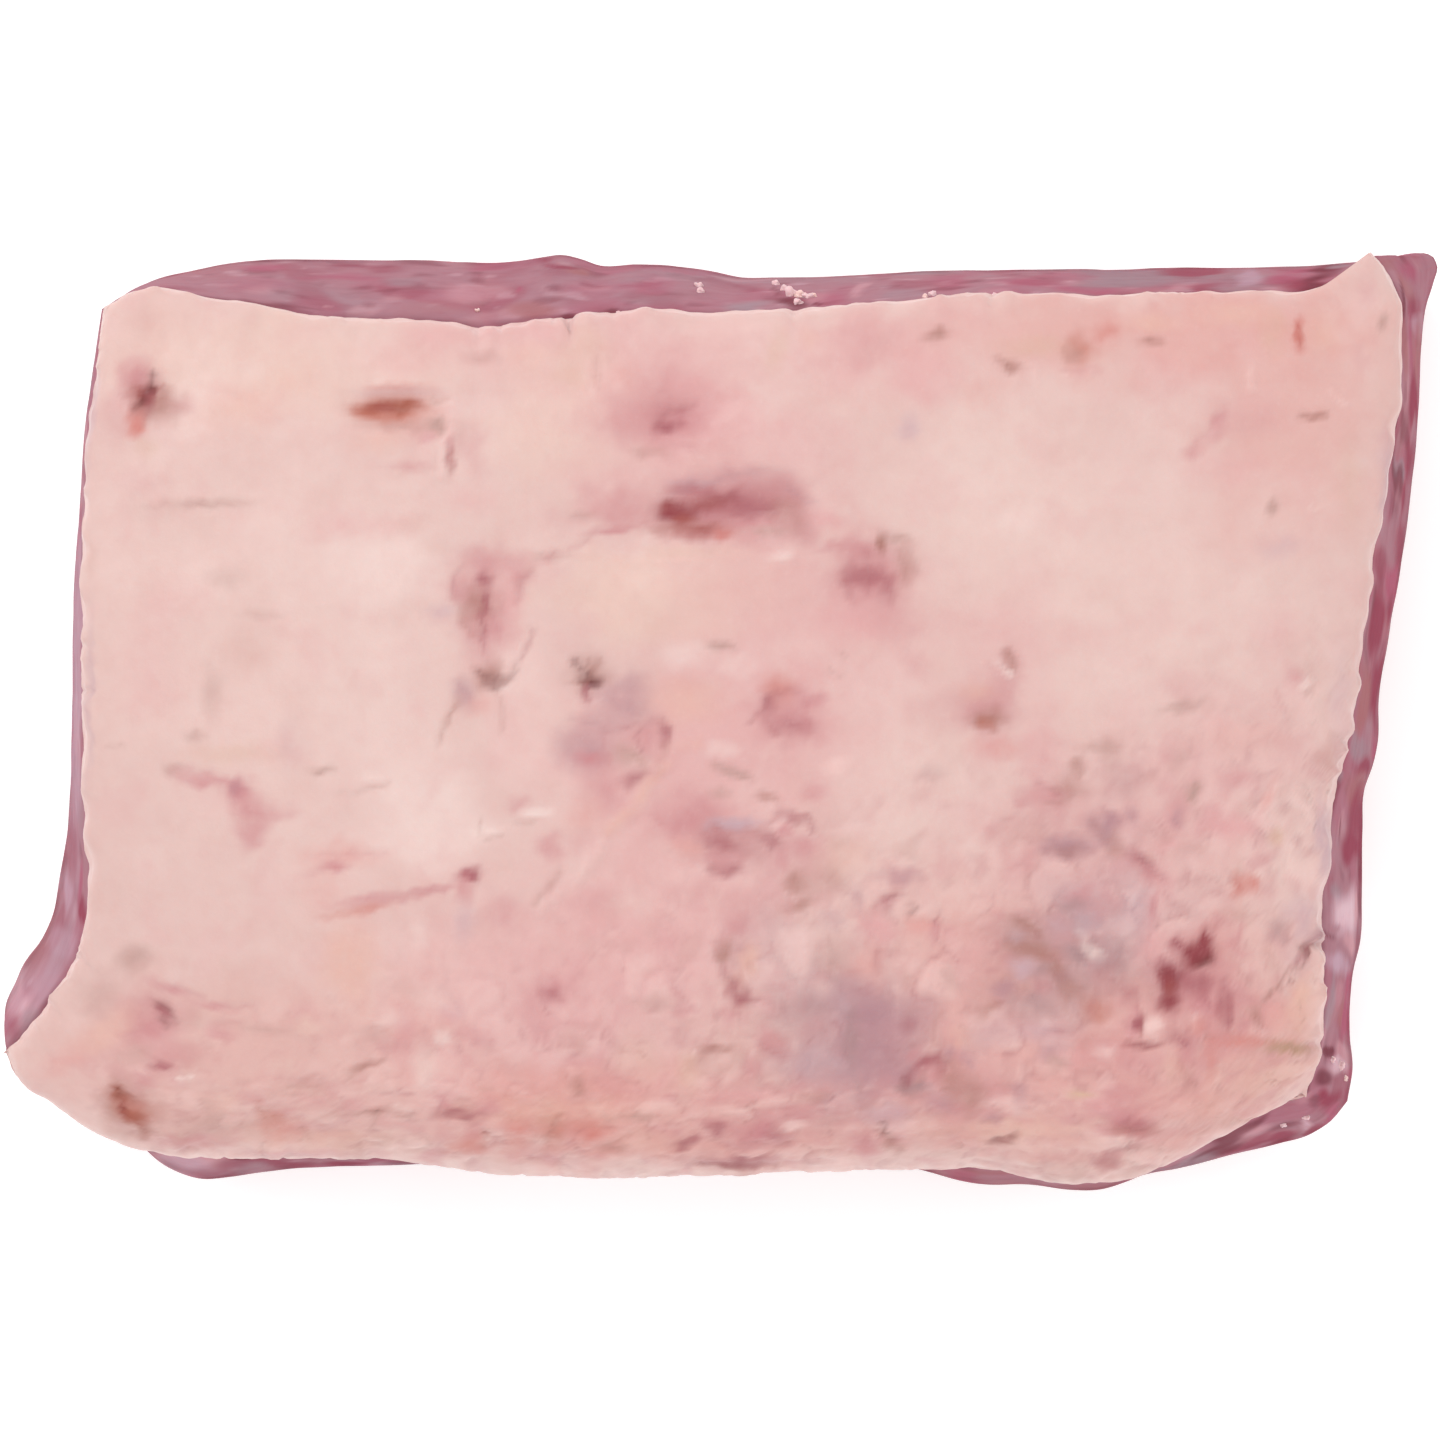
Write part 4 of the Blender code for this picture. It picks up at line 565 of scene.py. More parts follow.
    (-94.1, -58.6, 2, 1.5, 0, "rose", 0.5), (-57.6, -55.9, 3.6, 0.7, 12, "umber", 0.5),
    (-56.5, -50.5, 2.8, 2.3, 0, "taupe", 0.25), (-51.3, -51.3, 2, 5.2, 0, "rose", 0.3),
    (-68.2, -59.4, 5.5, 1.5, 0, "umber", 0.3), (-72.5, -64.4, 2.6, 1.5, 0, "amber", 0.4),
    (-71.8, -66.7, 4.3, 2.1, 0, "coral", 0.45), (-56.4, -63.6, 3.9, 0.8, 0, "umber", 0.4),
    (-42.3, -63.8, 4.3, 1.1, 0, "wine", 0.55), (-44.9, -61.8, 1.5, 1.8, 0, "rose", 0.5),
    (-37.4, -62.5, 2.1, 1.6, 0, "rose", 0.5), (-40.6, -69.2, 3.6, 2.6, 0, "coral", 0.55),
    (-85.3, -65.8, 5.9, 3.3, 0, "umber", 0.2), (-82.8, -64.9, 2.6, 3.6, 0, "taupe", 0.3),
    (-47.9, -56.3, 2.1, 4.6, 0, "cream", 0.6), (-100.7, -50.5, 6.5, 2.6, 30, "peach", 0.5),
    (-107.2, -55.4, 4.9, 2.3, 40, "salmon", 0.5), (-40.6, -51, 3.6, 1.6, -20, "rose", 0.35),
    (-43.5, -47.2, 2.6, 1.6, 0, "lilac", 0.3), (-80.4, -61.7, 3.3, 2, 0, "peach", 0.3),
    (-86.9, -69, 6.6, 1.6, 0, "rose", 0.5), (-68.9, -70.7, 9.9, 1, 0, "rose", 0.5),
    (-95.5, 53.1, 2, 1.8, 0, "brick", 0.55), (-93.6, 49.7, 1.8, 1.5, 0, "brick", 0.45),
    (43.7, -51, 4.6, 2.9, 20, "mauve", 0.4), (7.9, -28.2, 3.3, 4.2, 0, "rose", 0.35),
    (35.5, -62, 3.3, 2.3, -15, "mauve", 0.45), (-102, -44.5, 3.3, 4.2, 0, "taupe", 0.3),
    (18.3, -32.1, 2.9, 2, 30, "mauve", 0.35), (-94.5, -67.2, 1.6, 1.3, 0, "umber", 0.6),
    (78.8, -49, 3.3, 4.2, 0, "rose", 0.3), (43.7, -4.8, 4.2, 2.8, 40, "rose", 0.25),
    (9.8, -22.4, 1.3, 1.8, 0, "rose", 0.55), (-55.2, 45.3, 4.6, 2.3, 0, "peach", 0.35),
    (10.5, -17.8, 1.6, 1.3, 0, "rose", 0.55), (-5.8, 10.8, 4.9, 2.6, 0, "ivory", 0.4),
    (44.1, -64.6, 1.8, 1.1, 0, "mauve", 0.5), (40.4, -54.9, 1.3, 1.8, 20, "mauve", 0.5),
    (-47.4, 45.9, 1.6, 1.3, 0, "rose", 0.5), (105.4, 70.3, 2, 3.3, 0, "rose", 0.25),
    (37.2, -41.9, 1.8, 2.9, 0, "taupe", 0.35), (61.8, -66.6, 2.1, 1, 0, "rose", 0.5),
    (-97.8, -61.3, 1.5, 1.3, 0, "umber", 0.5), (76.2, -54.9, 2.9, 1.8, -20, "rose", 0.3),
    (52.1, -40.6, 2, 1.1, 25, "slate", 0.5), (85.3, -49.7, 1.3, 1.8, 0, "rose", 0.5),
    (54.7, -55.5, 2, 1.3, 0, "taupe", 0.5), (-25.3, 32.3, 4.2, 2.3, -10, "rose", 0.2),
    (-27.5, -70.7, 2.6, 1.3, 0, "rose", 0.3), (4.6, 29, 2.9, 1.6, 0, "rose", 0.3),
    (22.2, -28.9, 1.3, 2, 0, "mauve", 0.4), (43, 53.7, 4.9, 2.8, 0, "salmon", 0.3),
    (-95.5, -54.2, 2.9, 1.8, 10, "taupe", 0.3), (31.3, 9.5, 2.1, 2.9, 30, "rose", 0.25),
    (37.2, -53.6, 1.3, 2, 0, "mauve", 0.45), (16.3, -43.8, 2.6, 2, 0, "pearl", 0.35),
    (-46.7, -45.1, 4.2, 2.8, 0, "ivory", 0.3), (-9.8, -62.6, 3, 1.6, 0, "pearl", 0.3),
    (39.8, -20.4, 4.2, 2.9, -20, "cream", 0.35), (-66.9, -49.7, 2.9, 1.8, 0, "warm", 0.4),
    (19.6, -19.8, 2.8, 1.8, 0, "taupe", 0.2), (62.5, -53.6, 1.8, 1.3, 0, "pearl", 0.5),
    (0.1, -4.8, 2.9, 1.8, 0, "ivory", 0.4), (-45.4, -51.6, 1.6, 1.3, 0, "ivory", 0.5),
    (67.1, -47.7, 1.3, 1.6, 0, "rose", 0.45), (2.7, 8.9, 2.8, 2, 0, "ivory", 0.4),
    (104.1, 58.9, 1.6, 2.9, 0, "rose", 0.2), (-21.4, 37.5, 2.9, 1.8, 0, "rose", 0.25),
    (2.7, -54.9, 1.8, 2.8, 0, "taupe", 0.3), (-48.7, -34.1, 2, 2.8, 0, "ivory", 0.4),
    (-53.3, -48.4, 2.9, 1.6, 0, "ivory", 0.4), (94.4, -34.1, 1.6, 2.3, 0, "lilac", 0.4),
    (-85.8, -49, 2.9, 1.8, 0, "taupe", 0.25), (54.1, -32.8, 2.8, 1.8, -20, "lilac", 0.35),
    (-14.2, -29.5, 4.2, 2.9, 0, "cream", 0.35), (-91.6, 33.6, 4.9, 2.3, 0, "taupe", 0.1),
    (-88.4, -21.7, 4.9, 2.9, 0, "cream", 0.4), (-39.6, 40.7, 2.1, 2.6, 0, "rose", 0.2),
    (70.3, -12.6, 3.6, 3.3, 0, "cream", 0.25), (75.6, -64.6, 3.3, 1.5, -15, "salmon", 0.3),
    (-67.6, -34.7, 4.6, 2.6, 0, "buff", 0.2), (48.2, -35.4, 1.5, 1.3, 0, "lilac", 0.5),
    (97.6, 35.5, 2.6, 4.2, 0, "cream", 0.3), (48.9, 32.3, 4.6, 2.9, 0, "ivory", 0.3),
    (64.5, -0.9, 4.6, 2.9, 0, "cream", 0.3), (-70.8, -56.2, 2.9, 1.6, 0, "warm", 0.3),
    (67.7, 12.8, 4.6, 2.9, 0, "cream", 0.3), (-22.7, -19.8, 2, 2.8, 0, "rose", 0.2),
    (78.1, -37, 1.8, 1.8, 0, "blood", 0.8), (72.6, -42.4, 1.8, 2.9, 10, "blood", 0.75),
    (72.9, -43.2, 1, 1.6, 10, "brick", 0.6), (67.4, -49.2, 1, 1.3, 0, "wine", 0.8),
    (81.2, -46.4, 0.8, 3.3, 0, "wine", 0.6), (77.2, -50, 2, 1.6, 0, "coral", 0.4),
    (79.8, -55.4, 1.5, 3.9, 0, "coral", 0.35), (67.4, -65.4, 3.3, 1.1, 0, "wine", 0.5),
    (-52.8, 54.2, 5.2, 0.7, 0, "coral", 0.4), (-92.6, 51.5, 1.1, 2, 0, "blood", 0.5),
    (-4.8, 34.9, 4.2, 1.1, 0, "blood", 0.5), (-8.4, 34.6, 2, 1, 0, "brick", 0.6),
    (-3.2, 37, 5.5, 1.3, -5, "wine", 0.4), (-53.9, 50.8, 5.5, 1.1, 2, "rust", 0.5),
    (-55.5, 50.8, 2.6, 0.8, 0, "brick", 0.5), (-50.6, 51.3, 2.9, 0.8, 4, "rust", 0.4),
    (-7.7, 34.4, 3.6, 1.3, 0, "blood", 0.5), (-1.5, 35.4, 4.2, 1.5, 0, "brick", 0.35),
    (-93.1, 52.6, 1.3, 2, 0, "blood", 0.5),
)

# Thin marks: x and y of the start, x and y of the end, bow to the left, half width, pigment, strength,
# depth of the furrow (negative for a raised thread). The ivory and pearl ones, all on raised threads, the
# lilac one at (4.1, -17.6) and the peach ones on the ridge from (-7.7, -5.8) to (-19.1, -18.8) are partly
# painted highlights and glints. The umber line beside the tag from (-44, 39.8), the umber ones beside the
# glints at (46.1, 11.6) and (96, 5.8), and the clot, wine and umber lines along the flap's upper edge from
# (99.3, -35.9) to (88.2, -46.4) are furrows darkened partly as painted shade.
STROKES = (
    (-92.6, 53.9, -91.8, 56.8, 0, 0.42, "clot", 0.9, 0.3),
    (-92.6, 53.6, -90.5, 54.2, 0, 0.36, "brick", 0.6, 0.2),
    (-47.1, 52.4, -44.1, 51.6, 0, 0.36, "taupe", 0.5, 0.3),
    (-45.4, 39.4, -45.3, 44.5, -0.2, 0.73, "pearl", 0.7, -0.9),
    (-45.3, 44.3, -43, 47.9, 0.3, 0.65, "pearl", 0.7, -0.8),
    (-44, 39.8, -43.8, 44.8, -0.2, 0.49, "umber", 0.55, 0.5),
    (-19.9, 59.8, -19.4, 53.3, -0.2, 0.33, "umber", 0.3, 0.3),
    (-11.6, 46.7, -3.8, 51.3, 0.7, 0.73, "wine", 0.6, 0.7),
    (-12.1, 45.4, -3.2, 44.5, -0.5, 0.49, "rose", 0.4, 0.3),
    (-9.7, 37.6, 0.9, 37.2, 0.5, 0.49, "wine", 0.35, 0.3),
    (-11.3, 34.9, 13.1, 40.6, 1.6, 0.49, "mauve", 0.4, 0.3),
    (9.8, 38.9, 16.7, 34.9, -0.7, 0.49, "mauve", 0.5, 0.3),
    (-19.4, 30.5, -10.5, 32.4, -0.3, 0.49, "rose", 0.5, 0.3),
    (-10.5, 29.5, 6.6, 29.2, 1, 0.49, "rose", 0.35, -0.4),
    (7.4, 26.1, 12.3, 26.6, 0, 0.49, "ivory", 1, -0.5),
    (-30.8, 26.4, -23.5, 27.4, -0.3, 0.36, "taupe", 0.5, 0.4),
    (-23.5, 27.4, -19.4, 30, 0.3, 0.33, "rose", 0.35, 0.3),
    (-28.4, 27.9, 6.6, 27.2, -1.6, 0.49, "peach", 0.25, -0.4),
    (20.1, 25.9, 20.6, 19.4, 0, 0.57, "wine", 0.35, 0.4),
    (23.8, 28.4, 24.5, 19.4, 0, 0.65, "wine", 0.4, 0.4),
    (28.5, 28.4, 29.8, 21.1, 0.5, 0.57, "umber", 0.4, 0.4),
    (48.5, 58.5, 51.3, 53.9, 1, 0.49, "pearl", 0.5, -0.5),
    (45.6, 58.1, 47.9, 56.8, -0.3, 0.49, "umber", 0.6, 0.4),
    (55.4, 55.9, 61.1, 56.2, 0, 0.41, "pearl", 0.5, -0.4),
    (67.9, 61.5, 72.4, 61.4, 0.7, 0.41, "umber", 0.5, 0.5),
    (86.3, 58.8, 86.4, 52.6, -0.2, 0.42, "pearl", 0.5, -0.6),
    (82.5, 50.6, 76.5, 43, -0.7, 0.65, "rose", 0.4, 0.5),
    (98.5, 53.9, 101.9, 51, 0, 0.49, "pearl", 0.6, -0.6),
    (94.1, 49.3, 99.3, 49.7, 0.3, 0.49, "umber", 0.4, 0.5),
    (94.2, 64.6, 94.4, 60.4, 0, 0.49, "brick", 0.5, 0.3),
    (95.2, 34.4, 97.3, 34.4, 0, 0.26, "ivory", 0.7, -0.2),
    (-100.7, -4.3, -96.7, -4.1, 0, 0.33, "umber", 0.4, 0.3),
    (-90.2, -7.6, -76.3, -11.1, 0.7, 0.65, "rose", 0.4, 0.4),
    (-58.5, -9.2, -54.4, -9.3, 0, 0.29, "ivory", 0.9, -0.3),
    (-58.1, -10.8, -53.3, -10.3, -0.2, 0.33, "umber", 0.4, 0.4),
    (-66.6, -8.4, -61.7, -7.9, 0, 0.36, "taupe", 0.4, 0.3),
    (-62.5, -12, -57.6, -11.1, 0, 0.36, "taupe", 0.4, 0.3),
    (-87.7, 35.2, -74.7, 35.7, -0.3, 0.33, "taupe", 0.3, 0.2),
    (-68.2, -21.5, -52, -20.6, -0.7, 0.49, "rose", 0.3, 0.3),
    (-65.8, -32, -54.4, -29.7, -0.5, 0.49, "coral", 0.55, 0.4),
    (-54.4, -29.3, -43, -26.9, -0.3, 0.41, "rose", 0.5, 0.3),
    (-68.2, -25.3, -60.9, -24.1, 0, 0.49, "rose", 0.35, 0.2),
    (-37.8, 21.1, -38, 10.5, -0.7, 0.49, "wine", 0.7, 0.7),
    (-39.3, 8.4, -36.8, 4.8, 0.3, 0.52, "clot", 0.6, 0.8),
    (-36.8, 4.8, -32.8, 9.3, -0.5, 0.49, "clot", 0.55, 0.8),
    (-32.8, 9.3, -30.5, 15.4, -0.5, 0.39, "wine", 0.5, 0.5),
    (-33.4, 18.5, -30, 25.1, 0.7, 0.57, "wine", 0.4, 0.5),
    (-42.2, 25.9, -43, 18.6, -0.7, 0.49, "wine", 0.35, 0.4),
    (-43, 18.6, -38.9, 12.9, -0.5, 0.49, "umber", 0.35, 0.4),
    (-35.7, 12.1, -37.6, 19.4, -0.3, 0.39, "rose", 0.5, 0.4),
    (-36.2, 5.1, -35.7, -2.5, 0.3, 0.42, "umber", 0.4, 0.5),
    (-42.2, 3.7, -45.9, -4.6, -0.5, 0.46, "umber", 0.6, 0.6),
    (-34.9, 8.4, -33.3, 6.7, 0.5, 0.49, "pearl", 0.6, -0.5),
    (-30, 25.1, -19.4, 29.2, 0.8, 0.41, "rose", 0.4, 0.4),
    (-21.2, 6.9, -24.6, 10.3, -0.2, 0.39, "clot", 0.8, 0.5),
    (-21.1, 7.1, -19.3, 10.5, 0, 0.36, "umber", 0.6, 0.3),
    (-21.4, 6.7, -25.1, 6.3, 0, 0.33, "umber", 0.6, 0.3),
    (-21.4, 6.1, -22.2, 2.8, 0, 0.42, "wine", 0.6, 0.4),
    (-20.6, 7.1, -21.7, 10.5, 0, 0.29, "umber", 0.5, 0.2),
    (-19.4, -1.5, -13.4, -0.7, -0.3, 0.39, "wine", 0.45, 0.4),
    (-12.1, -0.4, -9, -0.2, 0.2, 0.42, "wine", 0.6, 0.5),
    (-8.9, -0.4, -9.2, -5, 0.5, 0.49, "wine", 0.7, 0.6),
    (-12.9, -1.1, -12.9, -5, -0.3, 0.36, "wine", 0.45, 0.4),
    (-19.4, -1.4, -17.5, -7.4, -0.5, 0.36, "rose", 0.5, 0.3),
    (-16.2, -4.6, -12.1, -7.9, 0.5, 0.39, "umber", 0.4, 0.3),
    (-25.1, 0.6, -19.4, -0.4, -0.3, 0.39, "mauve", 0.4, 0.3),
    (-8.4, -4.6, -9.7, -9.5, -0.7, 0.52, "umber", 0.45, 0.5),
    (-7.7, -5.8, -13.6, -14.1, -0.7, 0.81, "peach", 0.9, -0.7),
    (-13.6, -14.1, -19.1, -18.8, -0.3, 0.81, "peach", 0.8, -0.7),
    (-19.1, -18.8, -25, -27.1, 0.5, 0.81, "pearl", 0.7, -0.8),
    (-25, -27.1, -30.5, -31.3, 0, 0.65, "pearl", 0.5, -0.5),
    (-25.6, -24.1, -28.4, -27.7, 0, 0.65, "umber", 0.45, 0.5),
    (-28.4, -27.7, -30.8, -30.7, -0.2, 0.49, "taupe", 0.5, 0.4),
    (-6.4, -20.4, -12.9, -15, -1, 0.49, "rose", 0.35, 0.3),
    (-8, -19.9, -3.2, -21.2, 0.5, 0.81, "salmon", 0.7, -0.5),
    (6.9, 1.2, 8.5, 4.3, 0.3, 0.49, "wine", 0.6, 0.5), (8.5, 4.1, 13.6, 4.5, 0.3, 0.42, "wine", 0.45, 0.4),
    (13.6, 4.8, 13.1, -2.5, 0.5, 0.39, "rose", 0.5, 0.4),
    (7.4, 0.6, 10.2, -3, -0.5, 0.49, "wine", 0.45, 0.5), (3.8, -0.4, 7.2, 1.1, 0, 0.36, "wine", 0.45, 0.3),
    (13.6, 3.2, 16.7, 4.1, 0, 0.49, "rose", 0.5, 0.3), (-1.9, -7.4, 5, -9.5, 0.3, 0.55, "taupe", 0.6, 0.5),
    (-9.7, -4.1, -2.4, -3.3, -0.3, 0.81, "peach", 0.5, -0.3),
    (7.4, -17.2, 13.1, -15.5, 1.3, 0.65, "wine", 0.55, 0.6),
    (13.1, -15.5, 15.5, -18.3, 0.3, 0.57, "wine", 0.7, 0.7),
    (15.5, -18.3, 17.6, -19.6, 0, 0.42, "rose", 0.5, 0.3),
    (8.2, -21.2, 7.4, -18, -0.5, 0.57, "wine", 0.5, 0.5),
    (-3.2, -18.3, 9, -20.4, 1.6, 0.57, "wine", 0.4, 0.5),
    (-2.4, -24.1, 3.3, -24.1, -0.8, 0.65, "wine", 0.6, 0.6),
    (4.1, -17.6, -3.2, -17.6, -0.7, 0.49, "lilac", 0.7, -0.3),
    (18, 11.3, 20.4, 9.7, 0.7, 0.33, "taupe", 0.5, 0.3),
    (16.7, 8.4, 20.4, 7.7, -0.7, 0.33, "taupe", 0.4, 0.3),
    (-38.9, -15.5, -38.6, -18.8, -0.3, 0.33, "taupe", 0.6, 0.3),
    (-38.9, -19.3, -34.9, -18.9, 0, 0.29, "taupe", 0.6, 0.3),
    (-33.3, -14.9, -27.2, -14.9, 0, 0.39, "ivory", 0.9, -0.4),
    (-34.1, -16.7, -29.2, -16.3, 0, 0.36, "taupe", 0.35, 0.3),
    (-0.6, -35.5, 0.1, -39.4, 0.2, 0.65, "umber", 0.55, 0.7),
    (0.1, -39.4, 3, -44.3, -0.3, 0.59, "wine", 0.6, 0.9),
    (2.7, -45.4, 6.9, -45.4, 0, 0.36, "wine", 0.6, 0.6),
    (5.3, -41.5, 4.1, -35.9, -0.8, 0.65, "peach", 0.7, -0.5),
    (2.2, -34.2, -3.2, -36.7, 0, 0.49, "rose", 0.25, 0.3),
    (5.8, -51.5, 11.1, -55, -0.5, 0.65, "wine", 0.45, 0.5),
    (-3.2, -53.3, 2.5, -52.8, -0.3, 0.49, "umber", 0.5, 0.4),
    (25.3, -30.2, 30.2, -27.7, 0.3, 0.65, "wine", 0.5, 0.6),
    (30.2, -31.8, 32, -29.3, 0, 0.49, "clot", 0.6, 0.6),
    (34.2, -31.8, 35, -36.7, 0.5, 0.49, "rose", 0.6, 0.6),
    (21.2, -30.2, 24.5, -36.7, 0.8, 0.57, "rose", 0.35, 0.4),
    (25.4, -36.7, 25.6, -41.5, 0, 0.49, "wine", 0.4, 0.5),
    (22, -45.6, 20.9, -55.7, -0.5, 0.65, "slate", 0.5, 0.4),
    (30.2, -59.4, 31.8, -55.7, 0.5, 0.65, "wine", 0.7, 0.6),
    (31.8, -55.7, 35.9, -54.1, -0.3, 0.65, "wine", 0.7, 0.6),
    (35.9, -54.6, 35.9, -58.3, 0.7, 0.57, "wine", 0.7, 0.6),
    (33.9, -57.3, 31.3, -58.6, -0.3, 0.49, "umber", 0.5, 0.4),
    (22.5, -57.8, 21.8, -62.5, 0, 0.49, "slate", 0.4, 0.3),
    (26.4, -64.9, 27, -67.7, 0, 0.49, "clot", 0.6, 0.7), (27, -67.7, 29, -71, 0.3, 0.53, "umber", 0.5, 0.5),
    (24.4, -66.6, 23.4, -69.9, -0.3, 0.49, "rose", 0.4, 0.4),
    (46.1, -36.2, 53.7, -37.2, 0.5, 0.98, "umber", 0.5, 0.6),
    (52.9, -37.5, 59.4, -45.6, -0.7, 0.98, "umber", 0.5, 0.7),
    (46.9, -31.8, 52.4, -35.2, 0.5, 0.65, "umber", 0.45, 0.5),
    (57, -39.1, 61.1, -35, -0.5, 0.49, "slate", 0.5, 0.3),
    (45.6, -45.6, 41.5, -48.9, -0.5, 0.65, "umber", 0.3, 0.3),
    (59.9, -35.9, 57.8, -33.4, 0, 0.49, "ivory", 0.5, -0.3),
    (50.5, -9.8, 55.4, -12.6, 0.7, 0.49, "wine", 0.4, 0.5),
    (52.1, -13.1, 57.8, -12.3, -0.7, 0.49, "umber", 0.45, 0.4),
    (47.6, -11.5, 50.5, -13.9, -0.8, 0.49, "rose", 0.5, 0.4),
    (56.3, -6.3, 58.9, -9, 0, 0.65, "umber", 0.5, 0.5), (44, 9.7, 47.7, 6.9, 0.2, 0.49, "ivory", 1, -0.9),
    (46.1, 11.6, 48.2, 8.4, 0.2, 0.49, "umber", 0.6, 0.6),
    (66.7, -20.4, 72.4, -26.1, -0.5, 0.65, "wine", 0.45, 0.6),
    (60.2, -15.5, 63.5, -19.6, -0.5, 0.65, "umber", 0.4, 0.5),
    (69.5, -28.7, 71.1, -33.4, 0.3, 0.46, "rose", 0.5, 0.5),
    (77.3, -9.8, 76.2, -13.1, 0, 0.49, "taupe", 0.7, 0.6), (76.5, 3.2, 70, 0.6, 0, 0.65, "taupe", 0.4, 0.4),
    (89.2, -9.5, 88.2, -15, 0.3, 0.49, "salmon", 0.5, 0.3), (95, 7.7, 94.7, 4.8, 0, 0.52, "ivory", 1, -0.7),
    (96, 5.8, 95.4, 3.5, 0, 0.42, "umber", 0.5, 0.4),
    (83.3, -24.1, 85.6, -28.5, -0.5, 0.49, "coral", 0.6, 0.4),
    (85.6, -28.5, 87.2, -25.4, 0.3, 0.42, "coral", 0.6, 0.4),
    (84.6, -31.8, 84, -35.9, 0, 0.42, "rose", 0.6, 0.4),
    (88.2, -32.3, 92, -36.8, 0.8, 0.65, "slate", 0.5, 0.5),
    (78.1, -37.5, 78.5, -34.2, 0, 0.49, "blood", 0.7, 0.3),
    (76.5, -37.8, 73.6, -35.9, 0, 0.49, "blood", 0.6, 0.3),
    (77.8, -38.5, 73.3, -44, -0.3, 0.65, "blood", 0.5, 0.4),
    (81.7, -41.1, 82.7, -51.1, 0.5, 0.57, "wine", 0.6, 0.7),
    (77.3, -45, 80.1, -47.6, 0.8, 0.42, "wine", 0.5, 0.4),
    (80.1, -47.6, 78.6, -50.5, 0.5, 0.39, "rose", 0.5, 0.3),
    (71.6, -52.1, 76.5, -52.9, 0.8, 0.49, "wine", 0.5, 0.5),
    (65.9, -47.6, 66.7, -51.5, -0.3, 0.42, "rose", 0.6, 0.4),
    (65.1, -52.4, 72, -52.9, 0.3, 0.42, "blood", 0.6, 0.5),
    (78.1, -52.1, 87.9, -51.5, 0.7, 0.49, "coral", 0.45, 0.7),
    (87.9, -51.5, 97.3, -53.7, -0.5, 0.49, "olive", 0.8, 0.5),
    (84.6, -51.3, 88.9, -50.5, 0, 0.65, "pearl", 0.6, -0.6),
    (94.9, -38.3, 97.3, -36.3, 0, 0.65, "clot", 1, 1.2),
    (97.3, -36.3, 99.3, -36.8, 0, 0.49, "clot", 0.9, 0.9),
    (95.2, -38.3, 95.4, -40.1, 0, 0.39, "clot", 0.7, 0.8),
    (95.4, -40.1, 92.8, -40.1, 0, 0.39, "umber", 0.8, 0.8),
    (92.8, -40.1, 92.4, -43.2, 0, 0.39, "umber", 0.6, 0.7),
    (92.4, -43.2, 89.8, -43.5, 0, 0.39, "umber", 0.7, 0.7),
    (89.8, -43.5, 88.2, -46.4, -0.2, 0.39, "umber", 0.5, 0.6),
    (89.5, -45.6, 88.2, -49.2, 0, 0.49, "rose", 0.4, 0.4),
    (98.9, -38.3, 98.6, -52.1, -0.3, 0.65, "pearl", 0.5, -0.5),
    (74.1, -55, 75.6, -60.8, 0.5, 0.49, "umber", 0.4, 0.5),
    (75.9, -57.3, 77.2, -59.9, 0, 0.49, "umber", 0.6, 0.5),
    (80.6, -55.4, 86.3, -53.7, 1.1, 0.42, "rose", 0.4, 0.5),
    (81.4, -56.7, 86.3, -56.3, -0.8, 0.42, "rose", 0.4, 0.4),
    (72.3, -62.1, 78.9, -60.8, 0.5, 0.43, "rose", 0.4, 0.4),
    (87.1, -62.1, 92.8, -58.3, -0.3, 0.43, "rose", 0.4, 0.4),
    (64.1, -70, 69, -69.4, 0, 0.43, "wine", 0.6, 0.7),
    (62.5, -66.7, 72.3, -67.4, 0.5, 0.49, "brick", 0.5, 0.5),
    (61.7, -71, 64.4, -70, 0, 0.49, "wine", 0.6, 0.6),
    (43.6, -69, 48.7, -67.7, 0.3, 0.56, "clot", 0.6, 0.7),
    (36.2, -67.7, 46.1, -70.7, -0.3, 0.49, "rose", 0.4, 0.5),
    (49.3, -68.2, 60.8, -67.4, -0.3, 0.49, "rose", 0.4, 0.5),
    (81.4, -66.1, 87.1, -65.1, -0.2, 0.39, "umber", 0.5, 0.4),
    (-7.3, -69.4, -2.9, -67.1, 0.3, 0.66, "wine", 0.6, 0.7),
    (-4.8, -72.3, 9.9, -72.8, 0, 0.56, "blood", 0.6, 0.7),
    (-2.9, -67.1, 6.7, -69, -1, 0.49, "wine", 0.4, 0.5),
    (10.8, -72.3, 19, -71.7, 0, 0.49, "wine", 0.4, 0.5),
    (-19.6, -64.3, -12.2, -64.4, 0, 0.39, "umber", 0.5, 0.4),
    (-19.6, -69.4, -14.7, -69, 0, 0.43, "umber", 0.5, 0.5),
    (-26.2, -64.1, -28.2, -69, -0.5, 0.66, "umber", 0.5, 0.5),
    (-32.8, -70.7, -26.2, -72, 0, 0.49, "rose", 0.5, 0.5),
    (-92.6, -45.6, -88.4, -49.5, 0.5, 0.49, "clot", 0.55, 0.7),
    (-91.6, -47.9, -90, -50.5, 0, 0.49, "clot", 0.6, 0.7),
    (-93.9, -56, -89.3, -56.7, 0.3, 0.49, "wine", 0.6, 0.6),
    (-89.3, -58.1, -85.3, -58.1, 0, 0.39, "ivory", 0.9, -0.4),
    (-90.2, -43.2, -83.7, -45.6, 0.3, 0.39, "rose", 0.6, 0.5),
    (-83.7, -45.6, -75.5, -46.6, -0.3, 0.33, "rose", 0.4, 0.4),
    (-99.1, -51.3, -94.2, -50.5, 0, 0.49, "rose", 0.4, 0.4),
    (-84.5, -50.5, -77.2, -49.2, 0.3, 0.49, "rose", 0.4, 0.4),
    (-60.9, -58, -57.5, -55.7, 0, 0.46, "umber", 0.5, 0.5),
